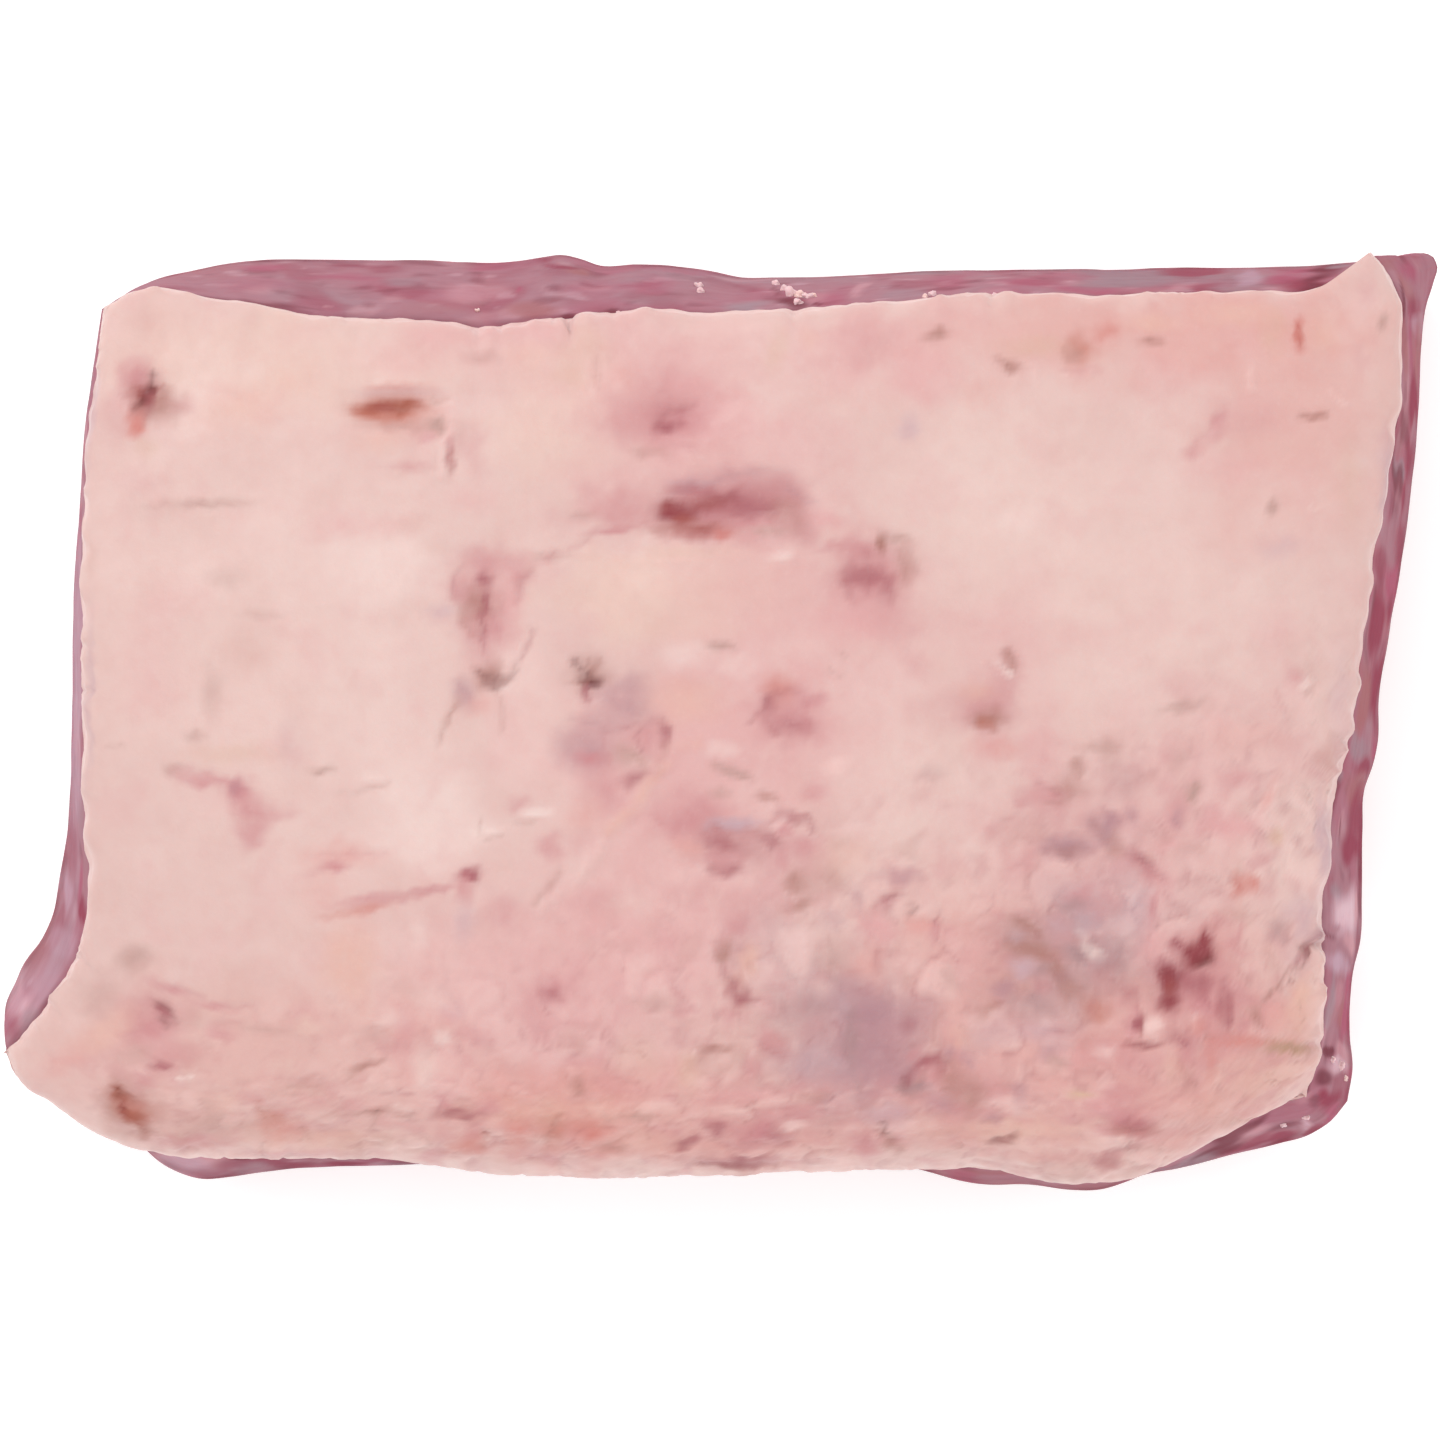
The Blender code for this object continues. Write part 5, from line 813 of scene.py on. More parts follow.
    (-57.5, -55.7, -53.9, -54.7, -0.2, 0.42, "umber", 0.6, 0.6),
    (-53.9, -54.7, -54.9, -51.5, 0.5, 0.39, "rose", 0.4, 0.4),
    (-68.9, -66.1, -66.9, -68.7, 0.7, 0.56, "umber", 0.4, 0.5),
    (-75.1, -61.2, -73.8, -65.4, -0.5, 0.49, "amber", 0.4, 0.4),
    (-60.7, -64.1, -52.8, -63.1, 0, 0.43, "umber", 0.4, 0.5),
    (-56.4, -66.7, -54.8, -62.8, 0.5, 0.46, "umber", 0.45, 0.5),
    (-53.1, -62.8, -49.8, -62.5, 0, 0.39, "ivory", 0.7, -0.3),
    (-61.5, -69, -54.9, -68.9, 0, 0.39, "wine", 0.5, 0.6),
    (-45.1, -64.4, -37.7, -63.5, 0, 0.56, "wine", 0.5, 0.6),
    (-39.7, -68.4, -36.7, -68.2, 0, 0.39, "ivory", 0.7, -0.3),
    (-37.4, -65.8, -38.3, -70.7, -0.7, 0.49, "umber", 0.35, 0.4),
    (-98.4, -61.2, -97.5, -65.8, 0.5, 0.56, "rust", 0.8, 0.4),
    (-76.3, -71.5, -65.6, -71.2, 0, 0.49, "wine", 0.4, 0.4),
    (-89.4, -70, -85.3, -70.5, 0, 0.39, "wine", 0.5, 0.4),
    (99.3, -35.9, 95.4, -37.6, -0.3, 0.39, "wine", 0.9, 1.2),
    (95.5, -37.6, 92.9, -39.4, 0.3, 0.36, "wine", 0.8, 1),
    (92.9, -39.4, 91.6, -41.9, -0.3, 0.33, "umber", 0.7, 0.8),
    (91.6, -41.9, 89.8, -43.3, 0.2, 0.33, "umber", 0.6, 0.6),
    (89.8, -43.3, 88.2, -46.3, -0.3, 0.33, "umber", 0.4, 0.5),
    (99.1, -37.5, 94.4, -40.1, -0.5, 0.52, "pearl", 0.7, -1.4),
    (94.1, -40.4, 91.5, -44.3, -0.5, 0.55, "pearl", 0.6, -1.2),
    (98.5, -39.1, 98.1, -53.7, 0.3, 0.39, "pearl", 0.5, -0.6),
    (-98.6, -59.6, -98.3, -62.1, -0.2, 0.36, "clot", 0.5, 0.4),
    (-98.3, -63.1, -96.1, -65.1, -0.3, 0.39, "clot", 0.5, 0.4),
    (-97.1, -61.2, -95.8, -63.1, 0.2, 0.3, "rust", 0.5, 0.3),
    (-95.5, -65.8, -93.5, -67.7, -0.2, 0.33, "brick", 0.4, 0.3),
)


# ------------------------------ noise on whole arrays
def fade(value, low, high):
    """0 below low, 1 above high, with a soft step between."""
    f = np.clip((value - low) / (high - low), 0, 1)
    return f * f * (3 - 2 * f)


def scatter(cell, seed):
    """A steady random number from -1 to 1 for each whole-numbered cell."""
    mixed = (cell[:, 0] * 374761393 + cell[:, 1] * 668265263 + cell[:, 2] * 1274126177
             + seed * 974634777) & 0xFFFFFFFF
    mixed = ((mixed ^ (mixed >> 13)) * 1103515245) & 0xFFFFFFFF
    mixed = ((mixed ^ (mixed >> 16)) * 1597334677) & 0xFFFFFFFF
    return ((mixed ^ (mixed >> 15)) & 0xFFFFFF) / 8388607.5 - 1.0


def waves(points, length, seed):
    """Smooth noise from about -1 to 1: random slopes at the corners of cubes, blended between."""
    place = points / length
    cell = np.floor(place).astype(np.int64)
    inside = place - cell
    ease = inside ** 3 * (inside * (inside * 6 - 15) + 10)
    total = np.zeros(len(points))
    for corner in itertools.product((0, 1), repeat=3):
        step = np.array(corner)
        weight = np.prod(np.where(step, ease, 1 - ease), axis=1)
        offset = inside - step
        slope = sum(scatter(cell + step, 3 * seed + axis) * offset[:, axis] for axis in range(3))
        total += weight * slope
    return total * 1.6


def rough_waves(points, length, seed, octaves=3):
    """Smooth noise with finer noise on it, each octave half as long and half as strong."""
    return sum(waves(points, length / 2 ** k, seed + 11 * k) / 2 ** k for k in range(octaves))


def flakes(points, length, seed):
    """Irregular lobes about one length wide: a steady number from -1 to 1 for each, and how far a point
    lies in from the furrow round it, 0 to 1."""
    place = points / length
    cell = np.floor(place).astype(np.int64)
    nearest = np.full(len(points), 9.0)
    second = np.full(len(points), 9.0)
    number = np.zeros(len(points))
    for step in itertools.product((-1, 0, 1), repeat=3):
        corner = cell + np.array(step)
        seat = corner + 0.5 + 0.45 * np.column_stack([scatter(corner, 3 * seed + axis) for axis in range(3)])
        distance = np.sqrt(((seat - place) ** 2).sum(axis=1))
        closer = distance < nearest
        second = np.where(closer, nearest, np.minimum(second, distance))
        number = np.where(closer, scatter(corner, 3 * seed + 7), number)
        nearest = np.minimum(nearest, distance)
    return number, np.clip((second - nearest) * 2.0, 0, 1)


def on_plan(plan):
    """Plan positions as points at height zero."""
    return np.column_stack((plan, np.zeros(len(plan))))


# ------------------------------ the big forms
def through_stations(stations, along):
    """A smooth curve through (along, out) stations: cubic pieces with the slopes of their neighbours."""
    at = np.array([s[0] for s in stations], dtype=float)
    out = np.array([s[1] for s in stations], dtype=float)
    slope = np.gradient(out, at)
    i = np.clip(np.searchsorted(at, along, side="right") - 1, 0, len(at) - 2)
    step = at[i + 1] - at[i]
    f = (along - at[i]) / step
    rise = out[i + 1] - out[i]
    return (out[i] + f * f * (3 - 2 * f) * rise
            + f * (1 - f) ** 2 * step * slope[i] - f * f * (1 - f) * step * slope[i + 1])


def side_points(start, end, stations, share):
    """Points at the given shares of the way along a side, moved out by its stations."""
    start = np.array(start)
    way = np.array(end) - start
    length = math.hypot(*way)
    outward = np.array((-way[1], way[0])) / length
    scale = stations[-1][0] / length
    out = through_stations(stations, share * length * scale)
    return start + share[:, None] * way + out[:, None] * outward


def outline(corners, sides):
    """The four sides as functions of a share: front and back run left to right, the others to the back."""
    left, back = corners["front left"], corners["back left"]
    far, near = corners["back right"], corners["front right"]
    return {
        "front": lambda share: side_points(near, left, sides["front"], 1.0 - share),
        "back": lambda share: side_points(back, far, sides["back"], share),
        "left": lambda share: side_points(left, back, sides["left"], share),
        "right": lambda share: side_points(far, near, sides["right"], 1.0 - share),
    }


def patch(edges, u, v):
    """A plan position between four edge curves: the two pairs blended, less their corners (Coons)."""
    zero, one = np.zeros(1), np.ones(1)
    front_left, front_right = edges["front"](zero)[0], edges["front"](one)[0]
    back_left, back_right = edges["back"](zero)[0], edges["back"](one)[0]
    uu, vv = u[:, None], v[:, None]
    across = (1 - uu) * edges["left"](v) + uu * edges["right"](v)
    deep = (1 - vv) * edges["front"](u) + vv * edges["back"](u)
    flat = ((1 - uu) * (1 - vv) * front_left + uu * (1 - vv) * front_right
            + (1 - uu) * vv * back_left + uu * vv * back_right)
    return across + deep - flat


def crown_height(plan, u, v):
    """Height of the fat's skin before it rolls over the front."""
    height = np.full(len(plan), HEIGHT)
    depth = WIDTH * (1 - v)
    from_side = LENGTH * np.minimum(u, 1 - u)
    for distance in (depth, from_side):
        height -= EDGE_FALL * np.clip(1 - distance / EDGE_REACH, 0, 1) ** 2
    for x, y, reach, fall in CORNER_FALLS:
        near = 1 - np.hypot(plan[:, 0] - x, plan[:, 1] - y) / reach
        height -= fall * fade(near, 0, 1)
    return height + CROWN_WAVE * waves(on_plan(plan), CROWN_WAVELENGTH, 1)


def roll(v):
    """How a point at v sits on the front roll: plan share, turn of the skin, lip share."""
    lip = 1 - np.clip(v / LIP_SHARE, 0, 1)
    turn = 0.5 * math.pi * (1 - np.clip((v - LIP_SHARE) / ROLL_SHARE, 0, 1))
    reach = SHOULDER_RADIUS / WIDTH
    rest = np.clip((v - LIP_SHARE - ROLL_SHARE) / (1 - LIP_SHARE - ROLL_SHARE), 0, 1)
    plan_share = np.where(turn > 0, reach * (1 - np.sin(turn)), reach + rest * (1 - reach))
    return plan_share, turn, lip


def along_front(table, u):
    """A value given along the front edge, read at u."""
    return np.interp(u, [t[0] for t in table], [t[1] for t in table])


def front_drop(u, turn, lip):
    """How far the roll and the lip bring the skin down."""
    return along_front(ROLL_DROP, u) * (1 - np.cos(turn)) + along_front(LIP_DROP, u) * lip


def drawn_in(plan, tuck):
    """Plan positions drawn towards the middle, by the tuck where the block is widest."""
    return plan * (1 - np.atleast_1d(tuck)[:, None] / np.array((0.5 * LENGTH, 0.5 * WIDTH)))


def rim_outline(cap, girth):
    """Where the fat's underside ends: on the leaning walls, and inside the roll along the front."""
    def leaning(side):
        return lambda share: (1 - RIM_LEAN) * cap[side](share) + RIM_LEAN * girth[side](share)

    def tucked(share):
        inner = cap["front"](share) + np.array((0.0, LIP_THICKNESS))
        corner_share = np.minimum(share, 1 - share)
        blend = fade(corner_share, 0, CORNER_SHARE)[:, None]
        ends = (1 - RIM_LEAN) * cap["front"](share) + RIM_LEAN * girth["front"](share)
        return blend * inner + (1 - blend) * ends

    return {"front": tucked, "back": leaning("back"), "left": leaning("left"), "right": leaning("right")}


def contact(rim, u, v, lift):
    """The face where the fat meets the lean, moved out along its own direction by lift."""
    plan_share, turn, lip = roll(v)
    plan = patch(rim, u, plan_share)
    height = crown_height(plan, u, v) - FAT_THICKNESS * np.cos(turn) - front_drop(u, turn, lip)
    points = np.column_stack((plan, height))
    points[:, 1] -= lift * np.sin(turn)
    points[:, 2] += lift * np.cos(turn)
    return points


# ------------------------------ the skin of the fat
def blob(plan, x, y, half_length, half_width, turn):
    """Distance from a mark's middle, 1 on its ellipse."""
    c, s = math.cos(math.radians(turn)), math.sin(math.radians(turn))
    dx, dy = plan[:, 0] - x, plan[:, 1] - y
    return np.hypot((c * dx + s * dy) / half_length, (c * dy - s * dx) / half_width)


def crumbly(plan):
    """Where the fat is broken into lobules: 0 at the left and back, 1 in the front right."""
    return fade(plan[:, 0] * BROKEN_SLANT - plan[:, 1], BROKEN_FROM, BROKEN_TO)


class Grain:
    """Noise that the relief and the colours of the fat share, so that stains sit in their hollows."""

    def __init__(self, plan, depth):
        flat = np.column_stack((plan, depth))
        self.flat = flat
        self.broad = self.shift(11.0, 3.2, 41)
        self.middle = self.shift(4.6, 1.8, 43)
        self.fine = self.shift(1.9, 0.75, 45)
        bend = 2.0 * np.column_stack((waves(flat, 7.0, 47), waves(flat, 7.0, 48), np.zeros(len(plan))))
        self.patchy = rough_waves(flat + bend, 5.0, 49)
        self.grain = rough_waves(flat, 2.2, 50, 2)
        self.bent = flat + np.column_stack((0.5 * self.broad + self.middle, np.zeros(len(plan))))
        self.lobes = [flakes(self.bent, length, 61 + i) for i, length in enumerate(LOBE_LENGTHS)]

    def shift(self, length, reach, seed):
        """A plan displacement that gives straight or round outlines a torn look."""
        return reach * np.column_stack((waves(self.flat, length, seed), waves(self.flat, length, seed + 1)))


def along_stroke(plan, noise, stroke):
    """Points near a stroke: their numbers, their distance across it, and its strength along its length."""
    x0, y0, x1, y1, bow = stroke[:5]
    start, way = np.array((x0, y0)), np.array((x1 - x0, y1 - y0))
    length = math.hypot(*way)
    way = way / length
    near = np.flatnonzero(np.abs(plan - start - way * length / 2).max(axis=1) < length / 2 + 4 + abs(bow))
    offset = plan[near] + 0.8 * noise.fine[near] + 0.25 * noise.middle[near] - start
    along = offset @ way / length
    across = offset @ np.array((-way[1], way[0])) - 4 * bow * along * (1 - along)
    ends = fade(along, -0.08, 0.2) * fade(1 - along, -0.08, 0.2)
    return near, across, ends


def skin_relief(plan, noise):
    """Height of the skin over its smooth form: named hollows, lobes where the fat is broken, thin marks."""
    flat, broken = noise.flat, crumbly(plan)
    relief = np.zeros(len(plan))
    for x, y, half_length, half_width, turn, height in SKIN_MARKS:
        distance = blob(plan + 0.5 * noise.middle, x, y, half_length, half_width, turn)
        relief += HOLLOW_SHARE * height * np.exp(-distance ** 2)
    for (number, inward), height in zip(noise.lobes, LOBE_HEIGHTS):
        dome = 1 - (1 - inward) ** 2
        relief += height * (0.05 + 0.95 * broken) * (0.55 + 0.45 * number) * (dome - 0.5)
    relief += SKIN_WAVE * waves(flat, SKIN_WAVELENGTH, 3)
    relief += (0.05 + 0.07 * broken) * noise.patchy + (0.02 + 0.03 * broken) * noise.grain
    relief += 0.05 * waves(noise.bent * np.array((0.3, 1.0, 1.0)), 3.0, 9) * (1 - broken)
    for stroke in STROKES:
        near, across, ends = along_stroke(plan, noise, stroke)
        half_width, depth = stroke[5], stroke[8]
        furrow = np.exp(-(across / (1.2 * half_width)) ** 2)
        lip = np.exp(-((across - 2.2 * half_width) / (1.3 * half_width)) ** 2)
        relief[near] += STROKE_DEPTH * depth * ends * (0.35 * lip - furrow)
    return relief


def from_edge(u, v):
    """Distance along the skin from the cut edges of the fat, at the sides and the back."""
    return np.minimum(np.minimum(u, 1 - u) * LENGTH, (1 - v) * WIDTH)


def rag(plan, u, v):
    """The torn edge of the fat: uneven steps in and out along the cut sides, and the larger tears."""
    flat = on_plan(plan)
    at_edge = 1 - fade(from_edge(u, v), 0, RAG_REACH)
    at_edge *= fade(v, 0, RAG_START)
    cut_clean = fade(plan[:, 1], CLEAN_FROM, CLEAN_TO)
    frayed = fade(-plan[:, 1], 0, FRAY_REACH)
    reach = EDGE_RAGGEDNESS * at_edge * (1 + 0.5 * frayed) * (1 - 0.5 * cut_clean)
    nibbled = fade(waves(flat, NIBBLED_STRETCH, 14), -0.1, 0.35)
    step = np.tanh(3.0 * waves(flat, RAG_LENGTH, 5))
    for share, length, seed in NIBBLES:
        step += share * nibbled * waves(flat, length, seed)
    sideways = 0.5 * waves(flat, 0.5 * RAG_LENGTH, 6)
    across = np.where(plan[:, 1] > CLEAN_FROM, step, sideways)
    shift = np.column_stack((step, across)) * (0.6 * reach)[:, None]
    for x, y, half_length, pull_x, pull_y in EDGE_TEARS:
        off = plan[:, 1] - y if pull_x else plan[:, 0] - x
        near = np.hypot(plan[:, 0] - x, plan[:, 1] - y) < 2 * RAG_REACH
        pull = np.exp(-(off / half_length) ** 2) * at_edge * near
        shift += pull[:, None] * np.array((pull_x, pull_y))
    return shift


def linear(display):
    """Display red, green and blue (0 to 255) as the linear values that a shader takes."""
    c = np.array(display) / 255.0
    return np.where(c <= 0.04045, c / 12.92, ((c + 0.055) / 1.055) ** 2.4)


def fat_layers(plan, noise):
    """The washes of colour on the fat in order, as (pigment, strength at each point, which points): wide
    fields, mottling, crumbs of differing tint, stains, thin marks; among the stains and thin marks are
    painted highlights and painted shade."""
    every = slice(None)
    flat, patchy, grain = noise.flat, noise.patchy, noise.grain
    broken = crumbly(plan)
    for x, y, half_length, half_width, turn, pigment, strength in FIELDS:
        distance = blob(plan + 1.6 * noise.broad + noise.middle, x, y, half_length, half_width, turn)
        yield pigment, strength * (1 - fade(distance + 0.12 * patchy, 0.3, 1.4)), every
    whole = 1 - 0.5 * broken
    yield "ivory", MOTTLE_SHARE * fade(waves(flat, 16.0, 51) + 0.35 * patchy, 0.1, 0.6) * whole, every
    yield "pink", MOTTLE_SHARE * fade(waves(flat, 10.0, 52) + 0.5 * patchy, 0.15, 0.6), every
    yield "buff", MOTTLE_SHARE * fade(waves(flat, 8.0, 53) + 0.4 * patchy, 0.2, 0.7), every
    for (number, inward), share in zip(noise.lobes, LOBE_TINTS):
        soft = fade(inward, 0.0, 0.9) * (0.06 + 0.94 * broken) * share
        yield "pearl", soft * fade(number, 0.3, 0.8), every
        yield "rose", soft * fade(-number, 0.25, 0.75), every
        yield "umber", 0.7 * soft * fade(0.14 - np.abs(number - 0.1), 0, 0.06), every
        furrow = (1 - fade(inward, 0.0, 0.35)) * broken * fade(patchy, -0.1, 0.45)
        yield "wine", 0.5 * share * furrow, every
    # Stains, with painted highlights and painted shade among them.
    for x, y, half_length, half_width, turn, pigment, strength in STAINS_AND_PAINTED_LIGHT:
        reach = 1.6 * max(half_length, half_width) + 3.5
        near = np.flatnonzero(np.abs(plan - np.array((x, y))).max(axis=1) < reach)
        size = min(half_length, half_width)
        moved = (plan[near] + 0.5 * noise.broad[near] * min(1, size / 8)
                 + 0.8 * noise.middle[near] * min(1, size / 3.5) + noise.fine[near] * min(1, size / 1.3))
        distance = blob(moved, x, y, half_length, half_width, turn) + 0.14 * patchy[near] + 0.1 * grain[near]
        weight = STAIN_AND_LIGHT_SHARE * strength * (1 - fade(distance, 0.05, 1.45))
        yield pigment, weight * (1 + 0.35 * patchy[near] + 0.25 * grain[near]), near
    # Thin marks; the pale raised ones are partly painted highlights and some dark furrows partly painted
    # shade.
    for stroke in STROKES:
        near, across, ends = along_stroke(plan, noise, stroke)
        half_width, pigment, strength = stroke[5:8]
        body = np.exp(-(across / (1.3 * half_width)) ** 2) * ends
        yield pigment, STROKE_SHARE * strength * body * (0.8 + 0.4 * grain[near] + 0.3 * patchy[near]), near
    yield "pearl", 0.06 * fade(grain, 0.3, 0.8), every
    yield "rose", 0.08 * fade(-grain, 0.3, 0.8) * (0.3 + 0.7 * broken), every


def fat_colours(plan, noise):
    """Colour of the fat at each point, with every wash laid over the ones before."""
    colour = np.tile(linear(PIGMENTS["base"]), (len(plan), 1))
    for pigment, weight, where in fat_layers(plan, noise):
        colour[where] += np.clip(weight, 0, 1)[:, None] * (linear(PIGMENTS[pigment]) - colour[where])
    return colour * ALBEDO_SHARE


# ------------------------------ meshes
def ring_uv(across, deep):
    """Shares (u, v) round the edge of the block, anticlockwise from the front left corner."""
    x = np.arange(across) / across
    y = np.arange(deep) / deep
    return np.concatenate((
        np.column_stack((x, np.zeros(across))),
        np.column_stack((np.ones(deep), y)),
        np.column_stack((1 - x, np.ones(across))),
        np.column_stack((np.zeros(deep), 1 - y)),
    ))


def band_faces(first, second, count):
    """Quads between two closed rings of the same count, given their first vertex numbers."""
    i = np.arange(count)
    j = (i + 1) % count
    return np.column_stack((first + i, first + j, second + j, second + i))


def fan_faces(ring, pole, count):
    """Triangles from a closed ring to one vertex."""
    i = np.arange(count)
    return np.column_stack((ring + i, ring + (i + 1) % count, np.full(count, pole)))


def make_mesh(name, points, faces, colour, uv=None):
    """A smooth mesh object from millimetre points and arrays of faces, with a pigment for each point."""
    mesh = bpy.data.meshes.new(name)
    placed = (points - np.array((*MIDDLE, 0.0))) * MM
    mesh.from_pydata(placed.tolist(), [], [face for group in faces for face in group.tolist()])
    mesh.polygons.foreach_set("use_smooth", np.ones(len(mesh.polygons), dtype=bool))
    layer = mesh.attributes.new("pigment", "FLOAT_COLOR", "POINT")
    layer.data.foreach_set("color", np.column_stack((colour, np.ones(len(colour)))).ravel())
    if uv is not None:
        layer = mesh.uv_layers.new(name="along_fibres")
        corner_vertex = np.empty(len(mesh.loops), dtype=np.int64)
        mesh.loops.foreach_get("vertex_index", corner_vertex)
        layer.data.foreach_set("uv", uv[corner_vertex].ravel())
    mesh.update()
    piece = bpy.data.objects.new(name, mesh)
    bpy.context.scene.collection.objects.link(piece)
    return piece


def fat_skin(cap, u, v):
    """Points and colours of the skin at (u, v): crown less roll and lip, relief along its own direction,
    and the torn edge in plan."""
    plan_share, turn, lip = roll(v)
    plan = patch(cap, u, plan_share)
    base = crown_height(plan, u, v) - front_drop(u, turn, lip)
    noise = Grain(plan, 0.5 * base * np.sin(turn))
    edge_calm = fade(np.minimum(u, 1 - u), 0, 0.015) * fade(1 - v, 0, 0.02)
    relief = skin_relief(plan, noise) * (0.2 + 0.8 * edge_calm)
    skin = np.column_stack((plan + rag(plan, u, v), base))
    taper = LIP_TAPER * fade(np.minimum(u, 1 - u), 0, CORNER_SHARE)
    skin[:, 1] += taper * lip ** 2 - relief * np.sin(turn)
    skin[:, 2] += relief * np.cos(turn)
    skin[:, 2] -= RIM_DROP * np.clip(1 - from_edge(u, v) / RIM_ROUND, 0, 1) ** 2
    return skin, fat_colours(plan, noise)


def fat_side(edge, under, edge_colour, side_colour):
    """Rows of points and colours from the skin's edge down to the underside's, swelling outwards."""
    outward = under - under.mean(axis=0)
    outward[:, 2] = 0
    outward /= np.linalg.norm(outward, axis=1)[:, None]
    for row in range(1, RIM_ROWS + 1):
        share = row / RIM_ROWS
        level = edge + share * (under - edge)
        lumps = waves(level * np.array((1, 1, 2.4)), 3.2, 61)
        swell = RIM_SWELL * math.sin(math.pi * share) + RIM_LUMPS * lumps
        level = level + outward * (swell * math.sin(math.pi * share))[:, None]
        tone = 0.5 + 0.5 * waves(level * np.array((1, 1, 4.0)), 5.0, 62)
        blend = (1 - share) * edge_colour + share * side_colour
        yield level, blend * (0.93 + 0.1 * tone[:, None])


def fat_piece(cap, rim):
    """The fat: its skin is a grid over (u, v), closed by rim rows and rings that shrink to a pole below."""
    columns, rows = SKIN_ACROSS + 1, SKIN_DEEP + 1
    shares = np.meshgrid(np.linspace(0, 1, rows), np.linspace(0, 1, columns), indexing="ij")
    v, u = (share.ravel() for share in shares)
    skin, colour = fat_skin(cap, u, v)
    index = np.arange(rows * columns).reshape(rows, columns)
    quads = np.column_stack([index[a:rows - 1 + a, b:columns - 1 + b].ravel()
                             for a, b in ((0, 0), (0, 1), (1, 1), (1, 0))])
    edge = np.concatenate((index[0, :-1], index[:-1, -1], index[-1, :0:-1], index[:0:-1, 0]))
    ring = np.column_stack((u[edge], v[edge]))
    under = contact(rim, ring[:, 0], ring[:, 1], FIT_GAP)
    count = len(edge)
    points, colours = [skin], [colour]
    faces = [quads]
    first = len(skin)
    side_colour = 0.5 * ALBEDO_SHARE * (linear(PIGMENTS["cream"]) + linear(PIGMENTS["pink"]))
    previous = edge
    i, j = np.arange(count), (np.arange(count) + 1) % count
    for level, tint in fat_side(skin[edge], under, colour[edge], side_colour):
        points.append(level)
        colours.append(tint)
        faces.append(np.column_stack((previous[j], previous[i], first + i, first + j)))
        previous = first + i
        first += count
    for step in range(1, UNDER_RINGS):
        shrink = 1 - step / UNDER_RINGS
        inner = 0.5 + (ring - 0.5) * shrink
        points.append(contact(rim, inner[:, 0], inner[:, 1], FIT_GAP))
        colours.append(np.tile(side_colour, (count, 1)))
        faces.append(band_faces(first - count, first, count)[:, ::-1])
        first += count
    points.append(contact(rim, CENTRE, CENTRE, FIT_GAP))
    colours.append(side_colour[None])
    faces.append(fan_faces(first - count, first, count)[:, ::-1])
    return make_mesh("cream_fat", np.concatenate(points), faces, np.concatenate(colours))


def as_seen(points):
    """Plan positions that hide each point from the eye above the block, at the level of the marks."""
    return points[:, :2] * ((EYE_HEIGHT - MARK_LEVEL) / (EYE_HEIGHT - points[:, 2:]))


def lean_colours(points, drop):
    """Colour of the lean: broad bands of crimson, brick, grey and pale sinew that run with the fibres over
    a mauve ground, then the listed places that are darker or paler, some of them painted shade along the
    fat's edge and one a painted highlight, then painted shade close under the fat and low down."""
    bent = points + 3.0 * waves(points, 16.0, 63)[:, None]
    band = bent * np.array((0.24, 0.24, 0.22))
    streak = bent * np.array((0.26, 0.26, 0.4))
    colour = np.tile(linear(LEAN_PIGMENTS["mauve"]), (len(points), 1))

    def lay(pigment, weight):
        colour[:] += np.clip(weight, 0, 1)[:, None] * (linear(LEAN_PIGMENTS[pigment]) - colour)

    lay("brick", 0.5 * fade(waves(points, 30.0, 70) + 0.4 * waves(band, 4.0, 69), 0.0, 0.5))
    inner = 1 - 0.7 * fade(points[:, 0], RIGHT_FROM, RIGHT_TO)
    lay("grey", 0.4 * inner * fade(waves(points, 21.0, 72) + 0.5 * waves(band, 4.0, 68), 0.1, 0.6))
    lay("magenta", 0.4 * fade(waves(points, 12.0, 73) + 0.4 * waves(band, 2.6, 74), 0.0, 0.4))
    lay("crimson", 0.4 * fade(waves(band, 2.6, 67) + 0.5 * waves(points, 7.0, 66), 0.1, 0.5))
    lay("blush", 0.35 * fade(waves(band, 2.4, 75) + 0.4 * waves(points, 6.0, 76), 0.3, 0.7))
    lay("dark", 0.4 * fade(waves(streak, 1.8, 77) + 0.5 * waves(points, 4.0, 62), 0.35, 0.8))
    lay("pale", 0.25 * inner * fade(waves(streak, 1.3, 65) + 0.5 * waves(points, 4.0, 64), 0.45, 0.8))
    wander = np.column_stack((waves(points, 9.0, 78), waves(points, 9.0, 79)))
    ragged = 0.5 * waves(band, 2.8, 80)
    plan = as_seen(points) + 1.2 * wander
    # Listed places, some of them painted shade along the fat's edge and one a painted highlight.
    for x, y, half_length, half_width, turn, pigment, strength in LEAN_FIELDS:
        distance = blob(plan, x, y, half_length, half_width, turn) + ragged
        lay(pigment, strength * (1 - fade(distance, 0.4, 1.3)))
    blotchy = 0.6 + 0.8 * waves(points, 5.0, 84)
    # Painted shade close under the fat's edge and low down on the wall.
    lay("dark", UNDER_FAT_SHADE * blotchy * (1 - fade(drop, 0.0, UNDER_FAT_SHARE)))
    lay("dark", LOW_SHADE * blotchy * (1 - fade(points[:, 2], LIMB_HEIGHT, LIMB_HEIGHT + LOW_REACH)))
    return colour * LEAN_SHARE


